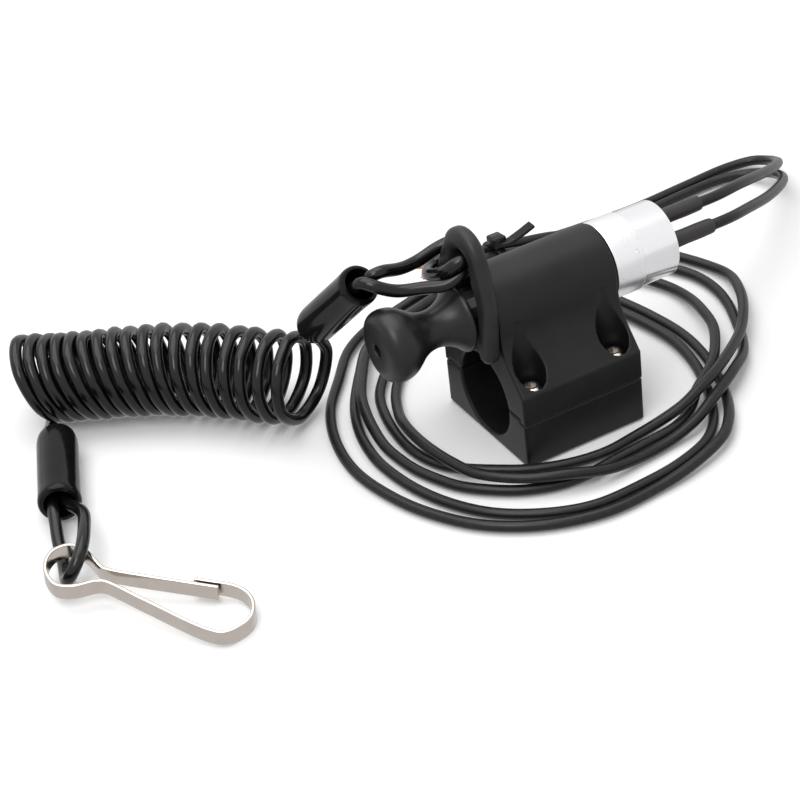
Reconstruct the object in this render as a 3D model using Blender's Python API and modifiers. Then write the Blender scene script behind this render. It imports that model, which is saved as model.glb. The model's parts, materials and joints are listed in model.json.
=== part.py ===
"""Engine kill switch with a lanyard, for a 22 mm handlebar.

A two-half clamp carries a barrel switch. A fork clip holds the sprung plunger out; the clip hangs on a
coiled lanyard with a snap hook. Pulling the clip off lets the plunger spring back and bridge the contacts.

Metres, +Z up. The origin is the centre of the lower clamp's flat underside. Y runs along the handlebar:
the knob points to -Y, the barrel and its wires to +Y. Stations are millimetres forward of the clamp's
middle, so a station s lies at y = -s.
"""

import bmesh
import bpy
from math import asin, cos, pi, radians, sin, sqrt
from mathutils import Matrix, Vector

MM = 0.001

# Clearances and the handlebar
GAP = 0.3
BAR_D = 22.0
BAR_CLEARANCE = 0.1
BORE_R = BAR_D / 2 + BAR_CLEARANCE
BORE_FLOOR = 1.3

# Clamp halves
CLAMP_W = 37.5
CLAMP_L = 34.2
HALF_W = CLAMP_W / 2
HALF_L = CLAMP_L / 2
UPPER_PROUD = 0.2
BORE_Z = BORE_FLOOR + BORE_R
PART_Z = 13.5
LIP_DROP = 0.9
LIP_X = 16.4
SHOULDER_Z = 21.0
AXIS_Z = 36.7
NECK_R = 10.5
FLANK_DROP = 2.2
EDGE_R = 0.7
RIM_R = 0.45

# Clamp screws: M3 socket heads into hex nuts
SCREW_X = HALF_W - 4.55
SCREW_Y = HALF_L - 5.1
POCKET_R = 3.9
SEAT_Z = 17.0
SHANK_R = 1.5
SHANK_HOLE_R = SHANK_R + GAP
HEAD_R = 2.75
HEAD_H = 3.0
SOCKET_AF = 2.5
SOCKET_DEPTH = 1.6
NUT_AF = 5.5
NUT_H = 2.4
NUT_POCKET = 3.2
SHANK_END = 0.6

# Plunger, along the switch axis; the fork clip stands between the housing's face and the knob
STEM_R = 6.4
FORK_T = 4.0
FORK_MIDDLE = HALF_L + GAP + FORK_T / 2
KNOB_R = 8.9
KNOB_REAR = FORK_MIDDLE + FORK_T / 2 + GAP
PIN_R = 2.0
ROD_R = 3.0
STEM_END = HALF_L - 6.5
KNOB_HOLE_R = 1.6
KNOB_HOLE_DEPTH = 4.0
KNOB_LENGTH = 23.2
PIN_REACH = 16.3

# The knob's outline: radius and distance behind its front face
KNOB_OUTLINE = [
    (5.2, 0), (6.7, 0.45), (7.8, 1.25), (8.5, 2.4), (KNOB_R, 4.1), (8.75, 5.6), (8.15, 7.4), (7.1, 9.2),
    (6.0, 10.9), (5.2, 12.6), (4.85, 14.4), (4.95, 16.0), (5.5, 17.9), (6.4, 19.6), (7.4, 20.9),
    (8.3, 21.8), (8.6, 22.4), (8.5, KNOB_LENGTH - 0.3), (8.1, KNOB_LENGTH),
]

# Housing bore and the front bush
HOUSING_BORE_R = 8.7
FRONT_WALL = 3.0
BUSH_REAR = 3.0
BUSH_LIP = 3.0

# Spring, collar, ring and contact disc on the rod
SPRING_R = 4.9
SPRING_WIRE_R = 0.45
SPRING_TURNS = 5
COLLAR_S = 8.1 - HALF_L
COLLAR_R = 6.4
COLLAR_T = 1.2
RING_T = 0.8
RING_R = 5.0
GROOVE_DEPTH = 0.6
DISC_R = 6.6
DISC_T = 0.8
DISC_NUT_H = 1.4

# Barrel
FLANGE_R = 10.2
FLANGE_END = -HALF_L - 8.5
BARREL_R = 9.85
BARREL_END = FLANGE_END - 10.1
BARREL_BORE_R = 7.3
COUNTERBORE_R = 8.0
PLATE_S = -HALF_L - 2.1
PLATE_T = 1.6
PLATE_HOLE_R = 3.4
PLUG_T = 4.8
PLUG_SKIRT = 0.8
DIMPLE_R = 0.45

# Terminals and the two wires; places are (x, z from the switch axis)
WIRE_D = 2.8
WIRE_R = WIRE_D / 2
TERMINALS = ((-4.2, 2.8), (5.0, -0.5))
EXITS = ((-2.8, 3.1), (3.2, -0.5))
TERMINAL_HEAD_R = 1.5
TERMINAL_SHANK_R = 0.9
TERMINAL_TAIL_R = 1.2
TERMINAL_STAND = 1.4
TERMINAL_TAIL = 5.2
SLEEVE_WALL = 0.35
WIRE_START = PLATE_S - PLATE_T - TERMINAL_TAIL - GAP
SLEEVE_LENGTHS = (14.5, 14.0)
CORE_R = 0.75
CORE_STATIONS = (GAP, 2.6, 4.9)

# Fork clip, seen from the knob: u is across, v up along its lean
FORK_LEAN = 5.5
FORK_LEG = 5.1
FORK_TIP = -8.6
FORK_SHOULDER = 5.0
FORK_STRAIGHT = -2.0
FORK_WAIST_V = 10.5
FORK_ARC_V = 16.8
FORK_ARC_R = 8.0
FORK_ARC_MEET = 25.0
FORK_EYE_V = 15.6
FORK_EYE_R = 3.7
FORK_ROUND = 1.2

# Cable tie round the wires
TIE_X, TIE_Y = -58.0, 22.0
TIE_R = 6.3
TIE_BAND = 0.9
TIE_W = 2.5
LOCK_SIZE = (4.6, 4.0, 3.2)
LOCK_X = 0.9
LOCK_LEAN = -8
TAIL_PATH = [(2.4, 0, 0.6), (3.9, 1.6, 1.3), (4.2, 5.0, 2.4), (4.1, 9.4, 3.9)]

# Lanyard
CORD_D = 3.2
CORD_R = CORD_D / 2
COIL_D = 23.5
SLEEVE_BORE_R = 3.9
TAIL_HOLE_R = 2.3
TAIL_WALL = 4.0
LIP_BAND = 0.35
CLIP_SLEEVE_R = 5.0
HOOK_SLEEVE_R = 5.3
CRIMP_R = SLEEVE_BORE_R - GAP
CRIMP_L = 9.0

# Snap hook: a bent strip standing on its edge, its ring end lifted by the cord below it
STRIP_H = 4.0
STRIP_T = 0.9
HOOK_TILT = 4.1
HOOK_NOSE = (33.0, -102.3)

# Clip-end sleeve (tail, mouth) and hook-end sleeve (tail, mouth)
CLIP_SLEEVE = ((-32.0, -47.0, 27.0), (-11.5, -41.5, 48.5))
HOOK_SLEEVE = ((-60.0, -108.0, 5.75), (-32.6, -119.3, 5.75))

# Places where the coil's axis runs
COIL_AXIS = [
    (-79.5, -106.8, 11.85), (-72.4, -96.4, 11.85), (-66.5, -86.0, 11.85), (-61.0, -77.4, 11.85),
    (-55.0, -70.2, 11.85), (-48.3, -63.7, 11.85), (-39.2, -56.3, 12.4), (-30.5, -50.2, 14.6),
]

# Outline of the bent strip, from the open tip round the nose and the ring to the gate's end
HOOK_PATH = [
    (12.5, -105.2), (20.4, -98.0), (24.8, -97.0), (28.7, -98.2), (31.4, -100.6), (32.6, -103.8),
    (32.6, -107.7), (29.7, -110.5), (12.7, -118.4), (1.8, -123.4), (0.7, -125.0), (-0.5, -130.1),
    (-3.2, -133.4), (-10.2, -133.1), (-14.7, -129.1), (-14.5, -124.6), (-10.7, -122.5),
    (-2.9, -121.7), (-1.0, -120.5), (18.1, -101.9),
]

# Loop through the fork's eye, two turns round its left arm, and loop through the hook's ring
CLIP_LOOP = [
    (-9.9, -39.2, 50.6), (-9.8, -36.6, 50.9), (-10.6, -31.0, 49.0), (-11.7, -25.0, 48.6),
    (-12.1, -19.4, 49.8), (-9.8, -15.3, 51.5), (-4.5, -14.9, 53.0), (0.0, -15.7, 53.7),
    (1.9, -18.5, 53.8), (2.3, -21.7, 53.6), (0.4, -24.2, 51.2), (-3.8, -24.6, 48.2),
    (-9.5, -24.2, 45.4), (-13.6, -21.2, 44.2), (-13.9, -17.6, 44.6), (-10.5, -15.0, 46.8),
    (-5.0, -14.9, 49.0), (-0.5, -15.7, 50.0), (1.4, -18.5, 50.0), (1.7, -21.7, 49.3),
    (1.0, -25.0, 47.7), (-1.6, -29.5, 47.6), (-4.4, -35.6, 47.6), (-5.9, -40.6, 50.2),
    (-9.0, -42.6, 50.7),
]
HOOK_LOOP = [
    (-28.4, -116.9, 6.4), (-22.6, -117.0, 8.2), (-15.4, -119.8, 9.6), (-9.7, -122.7, 9.9),
    (-6.2, -125.6, 8.9), (-5.2, -128.3, 6.2), (-7.2, -129.2, 3.2), (-11.8, -127.8, 1.75),
    (-17.5, -125.9, 1.75), (-23.0, -124.5, 2.8), (-28.8, -122.4, 4.8),
]

# Short runs from the coil's ends to the sleeves
CLIP_LEAD_TURN = (-50, -25, 0, 25, 47)
HOOK_LEAD_TURN = (200, 235, 268)
HOOK_LEAD = [(-74.5, -113.3, 1.9), (-69.0, -112.2, 2.2), (-65.2, -109.8, 3.8), (-62.6, -108.0, 5.1)]
LEAD_AHEAD = 2.3

# Wire routes, from outside the barrel to the bare ends; each starts straight from its terminal
WIRE_1_ROUTE = [
    (-2.8, 36, 39.8), (-2.8, 46, 39.8), (-2.8, 55, 39.7), (-7, 66, 37.4), (-22, 86, 27),
    (-38, 101, 16.5), (-50, 109.5, 8.5), (-58, 113, 4), (-63.5, 111, 2.2), (-65.8, 103.5, 1.5), (-65.2, 90, 1.5),
    (-64, 70, 1.6), (-62.7, 48, 3.4), (-61.5, 22, 6.3), (-61.9, 6, 4), (-61, -8, 1.7),
    (-57.5, -20, 1.5), (-52, -28.3, 1.5), (-42.2, -36.5, 1.5), (-31.2, -45, 1.5), (-18.5, -50.4, 1.5),
    (-5.2, -52.5, 1.5), (8, -50.8, 1.5), (20, -46.7, 1.5), (32.1, -38.9, 1.5), (41.3, -26.8, 1.5),
    (46, -12, 1.5), (45.6, 2, 1.5), (44.2, 13, 2.2), (40.1, 25.3, 3), (35, 31, 3), (28.3, 35.6, 2.4),
    (19, 40, 1.6), (8.3, 43.4, 1.5), (-4, 44.9, 1.5), (-17, 43.4, 1.5), (-30, 40.3, 1.5),
    (-42, 36.5, 1.6), (-52.9, 31, 2.6), (-57.0, 22, 3.7), (-54.6, 6, 1.6), (-50.8, -6, 1.5),
    (-44.8, -17, 1.5), (-37, -25.6, 1.5), (-29.1, -31.7, 1.5), (-21, -34.8, 1.5), (-12.5, -36.5, 1.5),
    (-4.5, -36.9, 1.5), (2.5, -35.6, 1.5), (7.5, -33.2, 1.5), (12.1, -29, 1.5), (16, -24.4, 1.5),
    (20.2, -18.8, 1.5), (24.5, -9.4, 1.5), (26.2, 0.6, 1.5), (25.4, 9, 1.6), (25.5, 17, 3),
    (26, 24, 5.4), (24.5, 30, 7), (22.3, 35.5, 7.4), (15.3, 45.9, 6.6), (8, 54.5, 5.4),
    (-0.5, 61.6, 4.9), (-9.3, 66.8, 4), (-19, 70.2, 2.4), (-27.5, 69.2, 1.5), (-37, 65, 1.6),
    (-48.5, 57, 3), (-56.8, 44, 6.8), (-59.9, 22, 9.5), (-60.8, 12, 10.3), (-61.2, 4, 11.5),
]
WIRE_2_ROUTE = [
    (3.2, 36, 36.2), (3.2, 46, 36.2), (3.2, 55, 36.2), (-2.0, 65, 33), (-13.6, 80, 25.5),
    (-31, 97.5, 15.5), (-44, 106, 8.2), (-53, 108.3, 4), (-58.8, 105.5, 2), (-61.6, 98, 1.5), (-61.7, 88, 1.5),
    (-60.5, 70, 1.5), (-59.5, 48, 1.7), (-60.2, 22, 3.6), (-58.8, 8, 2), (-57, -6, 1.5),
    (-54.3, -16, 1.5), (-50.2, -23.6, 1.5), (-41.5, -30.6, 1.5), (-31.2, -37.8, 1.5),
    (-24.8, -41.2, 1.5), (-17.9, -43.8, 1.5), (-10.8, -45.4, 1.5), (-3.9, -46, 1.5), (9.4, -44.4, 1.5),
    (21, -40.2, 1.5), (30.5, -33.7, 1.5), (38.3, -23.3, 1.5), (42.2, -13, 1.5), (42.4, 0, 1.5),
    (41, 12, 1.5), (37.2, 22.8, 1.5), (32.4, 28.2, 1.5), (26.4, 32.2, 1.5), (18, 36.2, 1.5),
    (8, 39.7, 1.5), (-4, 41.3, 1.5), (-16.5, 39.8, 1.5), (-28.5, 36.7, 1.5), (-39, 33, 2.2),
    (-51.0, 30, 5.4), (-55.0, 22, 6.3), (-53.9, 9, 4.7), (-48.6, -3, 2.2), (-41.5, -13.5, 1.5),
    (-34.2, -22.6, 1.5), (-27.2, -28, 1.7), (-20.2, -31.5, 2.4), (-11.8, -34.5, 4.3),
    (-4.1, -35.3, 4.7), (3, -34.9, 4.7), (10, -33.7, 4.7), (17.7, -31.2, 4.7), (26.5, -23, 4.7),
    (31.8, -13, 4.6), (34.1, -4, 3.2), (33.4, 6, 1.8), (32.2, 16, 1.8), (31, 24, 3.5),
    (27.8, 31.5, 5), (24.6, 37.4, 5.3), (20.5, 43.5, 5), (14.5, 50.3, 3.2), (8, 55, 1.9),
    (0, 59, 1.5), (-8, 62.3, 1.5), (-16.3, 64.2, 1.5), (-25, 63.8, 1.5), (-33, 60.5, 1.5),
    (-43, 53.5, 1.6), (-51, 44, 3), (-55.8, 34, 5), (-58.1, 22, 6.4), (-56.6, 8, 5.4),
    (-53.8, -5, 4.8), (-50, -17, 4.7), (-44.5, -26.3, 4.7), (-37.1, -31.9, 4.7), (-27.8, -37.5, 4.7),
    (-22, -39.6, 4.1), (-15.6, -41, 3), (-9, -41.6, 1.8), (-2.6, -41.2, 1.5), (3.8, -40.2, 1.5),
    (10.1, -38, 1.5), (15.8, -35.2, 1.5), (21.8, -29.9, 1.5), (26.8, -23.5, 1.5), (30.2, -15.5, 1.5),
    (31, -7.4, 1.5), (30.2, 0, 1.5), (29.3, 9.4, 1.5), (28, 19.9, 1.5), (24.8, 26.6, 1.9),
    (21.4, 31.2, 4.2), (18.6, 36, 5), (14.6, 41, 5), (8.8, 45.9, 4.8), (1.1, 50.8, 4.5),
    (-6.9, 53.3, 4), (-15.1, 55.1, 2.8), (-24, 55, 1.8), (-34, 50.5, 2.4), (-45, 43.5, 4.5),
    (-53, 33, 8), (-56.4, 22, 9.4), (-57, 12, 9.8), (-57.3, 3.5, 10.6),
]
WIRE_POINTS = (80, 108)

# Axes: a turned piece is drawn standing up and then laid along its own line
ALONG_SWITCH = Matrix.Translation((0, 0, AXIS_Z * MM)) @ Matrix.Rotation(radians(90), 4, "X")
FINE = 24
MEDIUM = 16
COARSE = 10


# Scene and materials

def clear_scene():
    """Empties the scene of whatever it starts with."""
    for thing in list(bpy.data.objects):
        bpy.data.objects.remove(thing, do_unlink=True)


def new_collection(name):
    """A collection linked to the scene."""
    made = bpy.data.collections.new(name)
    bpy.context.scene.collection.children.link(made)
    return made


def material(name, colour, roughness, metallic=0.0):
    """A Principled material in one colour."""
    made = bpy.data.materials.new(name)
    made.use_nodes = True
    shader = made.node_tree.nodes["Principled BSDF"]
    shader.inputs["Base Color"].default_value = (*colour, 1.0)
    shader.inputs["Roughness"].default_value = roughness
    shader.inputs["Metallic"].default_value = metallic
    made.diffuse_color = (*colour, 1.0)
    return made


clear_scene()
SWITCH = new_collection("engine_kill_switch")
CUTTERS = new_collection("cutters")

BLACK_CAST = material("black cast alloy", (0.012, 0.012, 0.013), 0.42)
BRIGHT_ALLOY = material("bright turned alloy", (0.90, 0.90, 0.91), 0.25, 1.0)
BLACK_PLASTIC = material("black plastic", (0.010, 0.010, 0.011), 0.35)
BLACK_RUBBER = material("black rubber", (0.013, 0.012, 0.012), 0.55)
CLIP_PLASTIC = material("fork plastic", (0.020, 0.016, 0.015), 0.50)
CORD_PLASTIC = material("cord plastic", (0.006, 0.006, 0.007), 0.18)
WIRE_PLASTIC = material("wire insulation", (0.011, 0.011, 0.011), 0.40)
STAINLESS = material("stainless steel", (0.62, 0.61, 0.60), 0.30, 1.0)
NICKEL = material("nickel plate", (0.74, 0.72, 0.69), 0.16, 1.0)
BRASS = material("brass", (0.72, 0.52, 0.24), 0.30, 1.0)
COPPER = material("bare copper", (0.80, 0.36, 0.22), 0.35, 1.0)


# Building blocks

def add_object(name, data, look, collection=None):
    """An object in the switch's collection with its material."""
    made = bpy.data.objects.new(name, data)
    (collection or SWITCH).objects.link(made)
    if look:
        data.materials.append(look)
    return made


def smooth(mesh, angle=35):
    """Smooth shading with sharp creases kept."""
    mesh.shade_smooth()
    mesh.set_sharp_from_angle(angle=radians(angle))


def revolve(name, profile, look, place=ALONG_SWITCH, steps=FINE, collection=None):
    """A turned piece: the (radius, station) profile runs down its outer side, from top to bottom."""
    mesh = bpy.data.meshes.new(name)
    points = [(r * MM, 0, s * MM) for r, s in profile]
    edges = [(i, i + 1) for i in range(len(points) - 1)]
    if profile[0][0] > 0:
        edges.append((len(points) - 1, 0))
    mesh.from_pydata(points, edges, [])
    made = add_object(name, mesh, look, collection)
    made.matrix_world = place
    turn = made.modifiers.new("turn", "SCREW")
    turn.axis = "Z"
    turn.steps = turn.render_steps = steps
    turn.use_merge_vertices = True
    turn.merge_threshold = 1e-5
    turn.use_smooth_shade = False
    return made


def as_mesh(thing, angle=35):
    """The object as a mesh with its caps welded, in place of a curve or a modifier stack."""
    bpy.context.view_layer.update()
    graph = bpy.context.evaluated_depsgraph_get()
    mesh = bpy.data.meshes.new_from_object(thing.evaluated_get(graph))
    shape = bmesh.new()
    shape.from_mesh(mesh)
    bmesh.ops.remove_doubles(shape, verts=shape.verts, dist=1e-6)
    bmesh.ops.dissolve_degenerate(shape, edges=shape.edges, dist=1e-7)
    bmesh.ops.recalc_face_normals(shape, faces=shape.faces)
    shape.to_mesh(mesh)
    shape.free()
    smooth(mesh, angle)
    name, place = thing.name, thing.matrix_world.copy()
    home = thing.users_collection[0]
    bpy.data.objects.remove(thing, do_unlink=True)
    made = bpy.data.objects.new(name, mesh)
    home.objects.link(made)
    made.matrix_world = place
    return made


def turned(name, profile, look, place=ALONG_SWITCH, steps=FINE):
    """A turned piece as a smooth-shaded mesh."""
    return as_mesh(revolve(name, profile, look, place, steps))


def flat_curve(name, outlines, look, thickness, edge, place, collection=None):
    """A plate: filled 2D outlines, extruded to the thickness, with its rims rounded."""
    curve = bpy.data.curves.new(name, "CURVE")
    curve.dimensions = "2D"
    curve.fill_mode = "BOTH"
    curve.extrude = (thickness / 2 - edge) * MM
    curve.bevel_depth = edge * MM
    curve.bevel_resolution = 1
    curve.offset = -edge * MM
    for outline in outlines:
        spline = curve.splines.new("POLY")
        spline.points.add(len(outline) - 1)
        for point, (u, v) in zip(spline.points, outline):
            point.co = (u * MM, v * MM, 0, 1)
        spline.use_cyclic_u = True
    made = add_object(name, curve, look, collection)
    made.matrix_world = place
    return as_mesh(made)


def tube(name, points, radius, look, sides=2):
    """A round tube with filled caps along points in millimetres."""
    curve = bpy.data.curves.new(name, "CURVE")
    curve.dimensions = "3D"
    curve.bevel_depth = radius * MM
    curve.bevel_resolution = sides
    curve.use_fill_caps = True
    spline = curve.splines.new("POLY")
    spline.points.add(len(points) - 1)
    for point, place in zip(spline.points, points):
        point.co = (*(Vector(place) * MM), 1)
    spline.use_smooth = True
    return add_object(name, curve, look)


def hide_cutter(cutter):
    """Shows a cutter as wires only, and leaves it out of renders."""
    cutter.hide_render = True
    cutter.display_type = "WIRE"
    return cutter


def cylinder(name, radius, low, high, place, sides, look=None, collection=None):
    """A cylinder or prism from low to high along the local Z of its place."""
    mesh = bpy.data.meshes.new(name)
    shape = bmesh.new()
    bmesh.ops.create_cone(shape, cap_ends=True, segments=sides, radius1=radius * MM, radius2=radius * MM,
                          depth=(high - low) * MM,
                          matrix=Matrix.Translation((0, 0, (low + high) / 2 * MM)))
    shape.to_mesh(mesh)
    shape.free()
    made = add_object(name, mesh, look, collection)
    made.matrix_world = place
    return made


def cylinder_cutter(name, radius, low, high, place=Matrix.Identity(4), sides=FINE):
    """A cylinder that only cuts."""
    return hide_cutter(cylinder(name, radius, low, high, place, sides, collection=CUTTERS))


def box_mesh(name, size, look, place, edge=0.0, collection=None):
    """A box of size (x, y, z) millimetres about its place, its edges rounded."""
    mesh = bpy.data.meshes.new(name)
    shape = bmesh.new()
    bmesh.ops.create_cube(shape, size=1, matrix=Matrix.Diagonal((*(Vector(size) * MM), 1)))
    shape.to_mesh(mesh)
    shape.free()
    made = add_object(name, mesh, look, collection)
    made.matrix_world = place
    if edge:
        rounding = made.modifiers.new("edges", "BEVEL")
        rounding.width = edge * MM
        rounding.segments = 2
    return made


def combine(thing, other, operation="DIFFERENCE"):
    """Cuts the other object from this one, or joins it on."""
    change = thing.modifiers.new(f"{operation.lower()} {other.name}", "BOOLEAN")
    change.operation = operation
    change.object = other
    change.solver = "EXACT"
    return thing


def at(x, y, z=0.0):
    """A place in millimetres."""
    return Matrix.Translation(Vector((x, y, z)) * MM)


def along(start, end):
    """A place at start whose local Z points to end."""
    start, end = Vector(start), Vector(end)
    return Matrix.Translation(start * MM) @ (end - start).to_track_quat("Z", "Y").to_matrix().to_4x4()


def hexagon(across_flats):
    """A hexagon's corner radius from its size across flats."""
    return across_flats / sqrt(3)


# Curves worked out from a few values

def bezier(a, b, c, d, count):
    """Points on a cubic curve, its end left off."""
    made = []
    for i in range(count):
        t = i / count
        w = ((1 - t) ** 3, 3 * t * (1 - t) ** 2, 3 * t * t * (1 - t), t ** 3)
        made.append(tuple(sum(k * p[j] for k, p in zip(w, (a, b, c, d))) for j in range(2)))
    return made


def arc(centre, radius, start, end, count):
    """Points on an arc from one angle to the other, in degrees, both ends kept."""
    made = []
    for i in range(count + 1):
        turn = radians(start + (end - start) * i / count)
        made.append((centre[0] + radius * cos(turn), centre[1] + radius * sin(turn)))
    return made


def mirrored(half):
    """A half outline that starts and ends near u = 0, with its mirror image after it."""
    return half + [(-u, v) for u, v in reversed(half) if abs(u) > 1e-6]


def smooth_line(points, count):
    """Evenly spaced points on a centripetal Catmull-Rom curve through the points."""
    given = [Vector(p) for p in points]
    ends = [2 * given[0] - given[1]] + given + [2 * given[-1] - given[-2]]
    fine = []
    for p0, p1, p2, p3 in zip(ends, ends[1:], ends[2:], ends[3:]):
        t1 = (p1 - p0).length ** 0.5
        t2 = t1 + (p2 - p1).length ** 0.5
        t3 = t2 + (p3 - p2).length ** 0.5
        for i in range(12):
            t = t1 + (t2 - t1) * i / 12
            a1 = p0 * ((t1 - t) / t1) + p1 * (t / t1)
            a2 = p1 * ((t2 - t) / (t2 - t1)) + p2 * ((t - t1) / (t2 - t1))
            a3 = p2 * ((t3 - t) / (t3 - t2)) + p3 * ((t - t2) / (t3 - t2))
            b1 = a1 * ((t2 - t) / t2) + a2 * (t / t2)
            b2 = a2 * ((t3 - t) / (t3 - t1)) + a3 * ((t - t1) / (t3 - t1))
            fine.append(b1 * ((t2 - t) / (t2 - t1)) + b2 * ((t - t1) / (t2 - t1)))
    fine.append(given[-1])
    lengths = [0.0]
    for a, b in zip(fine, fine[1:]):
        lengths.append(lengths[-1] + (b - a).length)
    made, k = [], 0
    for i in range(count):
        want = lengths[-1] * i / (count - 1)
        while k < len(fine) - 2 and lengths[k + 1] < want:
            k += 1
        share = (want - lengths[k]) / (lengths[k + 1] - lengths[k])
        made.append(fine[k].lerp(fine[k + 1], min(share, 1.0)))
    return made


# Clamp

def bore_x(z):
    """Half the handlebar bore's width at a height."""
    return sqrt(BORE_R ** 2 - (z - BORE_Z) ** 2)


def upper_outline():
    """The upper half's end view: lip, side, hollow flank and round top, over the bore."""
    low, lip = PART_Z + GAP / 2, PART_Z - LIP_DROP + GAP / 2
    side = HALF_W + UPPER_PROUD
    start = asin((low - BORE_Z) / BORE_R)
    bore = arc((0, BORE_Z), BORE_R, 90, start * 180 / pi, 8)
    half = bore + [(LIP_X + GAP, low), (LIP_X + GAP, lip)]
    half += arc((side - EDGE_R, lip + EDGE_R), EDGE_R, -90, 0, 2)
    half += arc((side - EDGE_R, SHOULDER_Z - EDGE_R), EDGE_R, 0, 60, 2)
    half += bezier((side - 0.55, SHOULDER_Z + 0.05), (side - 4.1, SHOULDER_Z + 4.2),
                   (NECK_R, AXIS_Z - FLANK_DROP - 6.0), (NECK_R, AXIS_Z - FLANK_DROP), 7)
    half += arc((0, AXIS_Z), NECK_R, 0, 90, 9)
    return mirrored(half)


def lower_outline():
    """The lower half's end view: a block under the bore, with a rebate for the upper half's lip."""
    top, step = PART_Z - GAP / 2, PART_Z - LIP_DROP - GAP / 2
    start = asin((top - BORE_Z) / BORE_R)
    bore = arc((0, BORE_Z), BORE_R, -90, start * 180 / pi, 9)
    half = bore + [(LIP_X, top), (LIP_X, step)]
    half += arc((HALF_W - EDGE_R, step - EDGE_R), EDGE_R, 90, 0, 2)
    half += arc((HALF_W - EDGE_R, EDGE_R), EDGE_R, 0, -90, 2)
    return mirrored(half)


ACROSS = Matrix.Rotation(radians(90), 4, "X")


def screw_places():
    """The four screws' places, near side first."""
    return [(sx * SCREW_X, sy * SCREW_Y) for sx in (1, -1) for sy in (-1, 1)]


def build_clamp():
    """The two clamp halves with their bores, pockets and holes."""
    upper = flat_curve("upper_housing", [upper_outline()], BLACK_CAST, CLAMP_L, RIM_R, ACROSS)
    lower = flat_curve("lower_clamp", [lower_outline()], BLACK_CAST, CLAMP_L, RIM_R, ACROSS)
    combine(upper, cylinder_cutter("housing bore", HOUSING_BORE_R, -HALF_L - 1, HALF_L - FRONT_WALL,
                                   ALONG_SWITCH))
    combine(upper, cylinder_cutter("stem hole", STEM_R + GAP, 0, HALF_L + 1, ALONG_SWITCH))
    for i, (x, y) in enumerate(screw_places()):
        place = at(x, y)
        combine(upper, cylinder_cutter(f"pocket {i}", POCKET_R, SEAT_Z, AXIS_Z, place, MEDIUM))
        combine(upper, cylinder_cutter(f"upper hole {i}", SHANK_HOLE_R, 5, SEAT_Z + 1, place, COARSE))
        combine(lower, cylinder_cutter(f"lower hole {i}", SHANK_HOLE_R, -1, AXIS_Z, place, COARSE))
        combine(lower, cylinder_cutter(f"nut pocket {i}", hexagon(NUT_AF + 2 * GAP), -1, NUT_POCKET,
                                       place, 6))
    return upper, lower


def build_screws():
    """Four socket-head screws and their nuts."""
    low = SEAT_Z + GAP
    profile = [
        (0, low + HEAD_H), (HEAD_R - 0.3, low + HEAD_H), (HEAD_R, low + HEAD_H - 0.3), (HEAD_R, low),
        (SHANK_R, low), (SHANK_R, SHANK_END + 0.4), (SHANK_R - 0.4, SHANK_END), (0, SHANK_END),
    ]
    for i, (x, y) in enumerate(screw_places(), 1):
        place = at(x, y)
        screw = turned(f"clamp_screw_{i}", profile, STAINLESS, place, MEDIUM)
        combine(screw, cylinder_cutter(f"socket {i}", hexagon(SOCKET_AF), low + HEAD_H - SOCKET_DEPTH,
                                       low + HEAD_H + 1, place, 6))
        build_nut(f"clamp_nut_{i}", place, NUT_POCKET - GAP - NUT_H, NUT_H, SHANK_R + GAP, STAINLESS)


def build_nut(name, place, low, height, hole_r, look):
    """A hexagon nut with a plain hole."""
    nut = cylinder(name, hexagon(NUT_AF), low, low + height, place, 6, look)
    return combine(nut, cylinder_cutter(f"{name} hole", hole_r, low - 1, low + height + 1, place, COARSE))


# Plunger and what rides on it

def rod_stations():
    """Where the collar, ring, disc and nut sit along the rod, each a gap behind the last."""
    collar_rear = COLLAR_S - COLLAR_T
    groove = collar_rear - 0.2
    ring = groove - GAP
    groove_rear = ring - RING_T - GAP
    shoulder = groove_rear - 0.8
    disc = shoulder - GAP
    nut = disc - DISC_T - GAP
    return groove, ring, groove_rear, shoulder, disc, nut


def build_plunger():
    """The turned plunger: a pin for the knob, the fat stem under the fork, and the rod behind it."""
    groove, _, groove_rear, shoulder, _, nut = rod_stations()
    stem_front = KNOB_REAR - GAP
    pin_front = KNOB_REAR + PIN_REACH
    end = nut - DISC_NUT_H - 0.4
    profile = [
        (0, pin_front), (PIN_R - 0.3, pin_front), (PIN_R, pin_front - 0.3), (PIN_R, stem_front),
        (STEM_R - 0.3, stem_front), (STEM_R, stem_front - 0.3), (STEM_R, STEM_END), (ROD_R, STEM_END),
        (ROD_R, groove), (ROD_R - GROOVE_DEPTH, groove), (ROD_R - GROOVE_DEPTH, groove_rear),
        (ROD_R, groove_rear), (ROD_R, shoulder), (PIN_R, shoulder), (PIN_R, end), (0, end),
    ]
    return turned("plunger_rod", profile, STAINLESS, steps=MEDIUM)


def build_knob():
    """The rubber pull knob: domed head, waist and rear flange, with a blind bore for the pin."""
    front = KNOB_REAR + KNOB_LENGTH
    hole_end = front - KNOB_HOLE_DEPTH
    bore_end = KNOB_REAR + PIN_REACH + GAP
    profile = [(0, hole_end), (KNOB_HOLE_R, hole_end), (KNOB_HOLE_R, front)]
    profile += [(r, front - back) for r, back in KNOB_OUTLINE]
    profile += [(PIN_R + GAP, KNOB_REAR), (PIN_R + GAP, bore_end), (0, bore_end)]
    return turned("pull_knob", profile, BLACK_RUBBER, steps=20)


def build_bush():
    """The front bush: the stem slides in it, and its rear lip seats the spring."""
    front = HALF_L - FRONT_WALL - GAP
    outer = HOUSING_BORE_R - GAP
    lip = BUSH_REAR + BUSH_LIP
    profile = [
        (STEM_R + GAP, front), (outer, front), (outer, BUSH_REAR), (ROD_R + GAP, BUSH_REAR),
        (ROD_R + GAP, lip), (STEM_R + GAP, lip),
    ]
    return turned("front_bush", profile, BLACK_PLASTIC, steps=MEDIUM)


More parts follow.
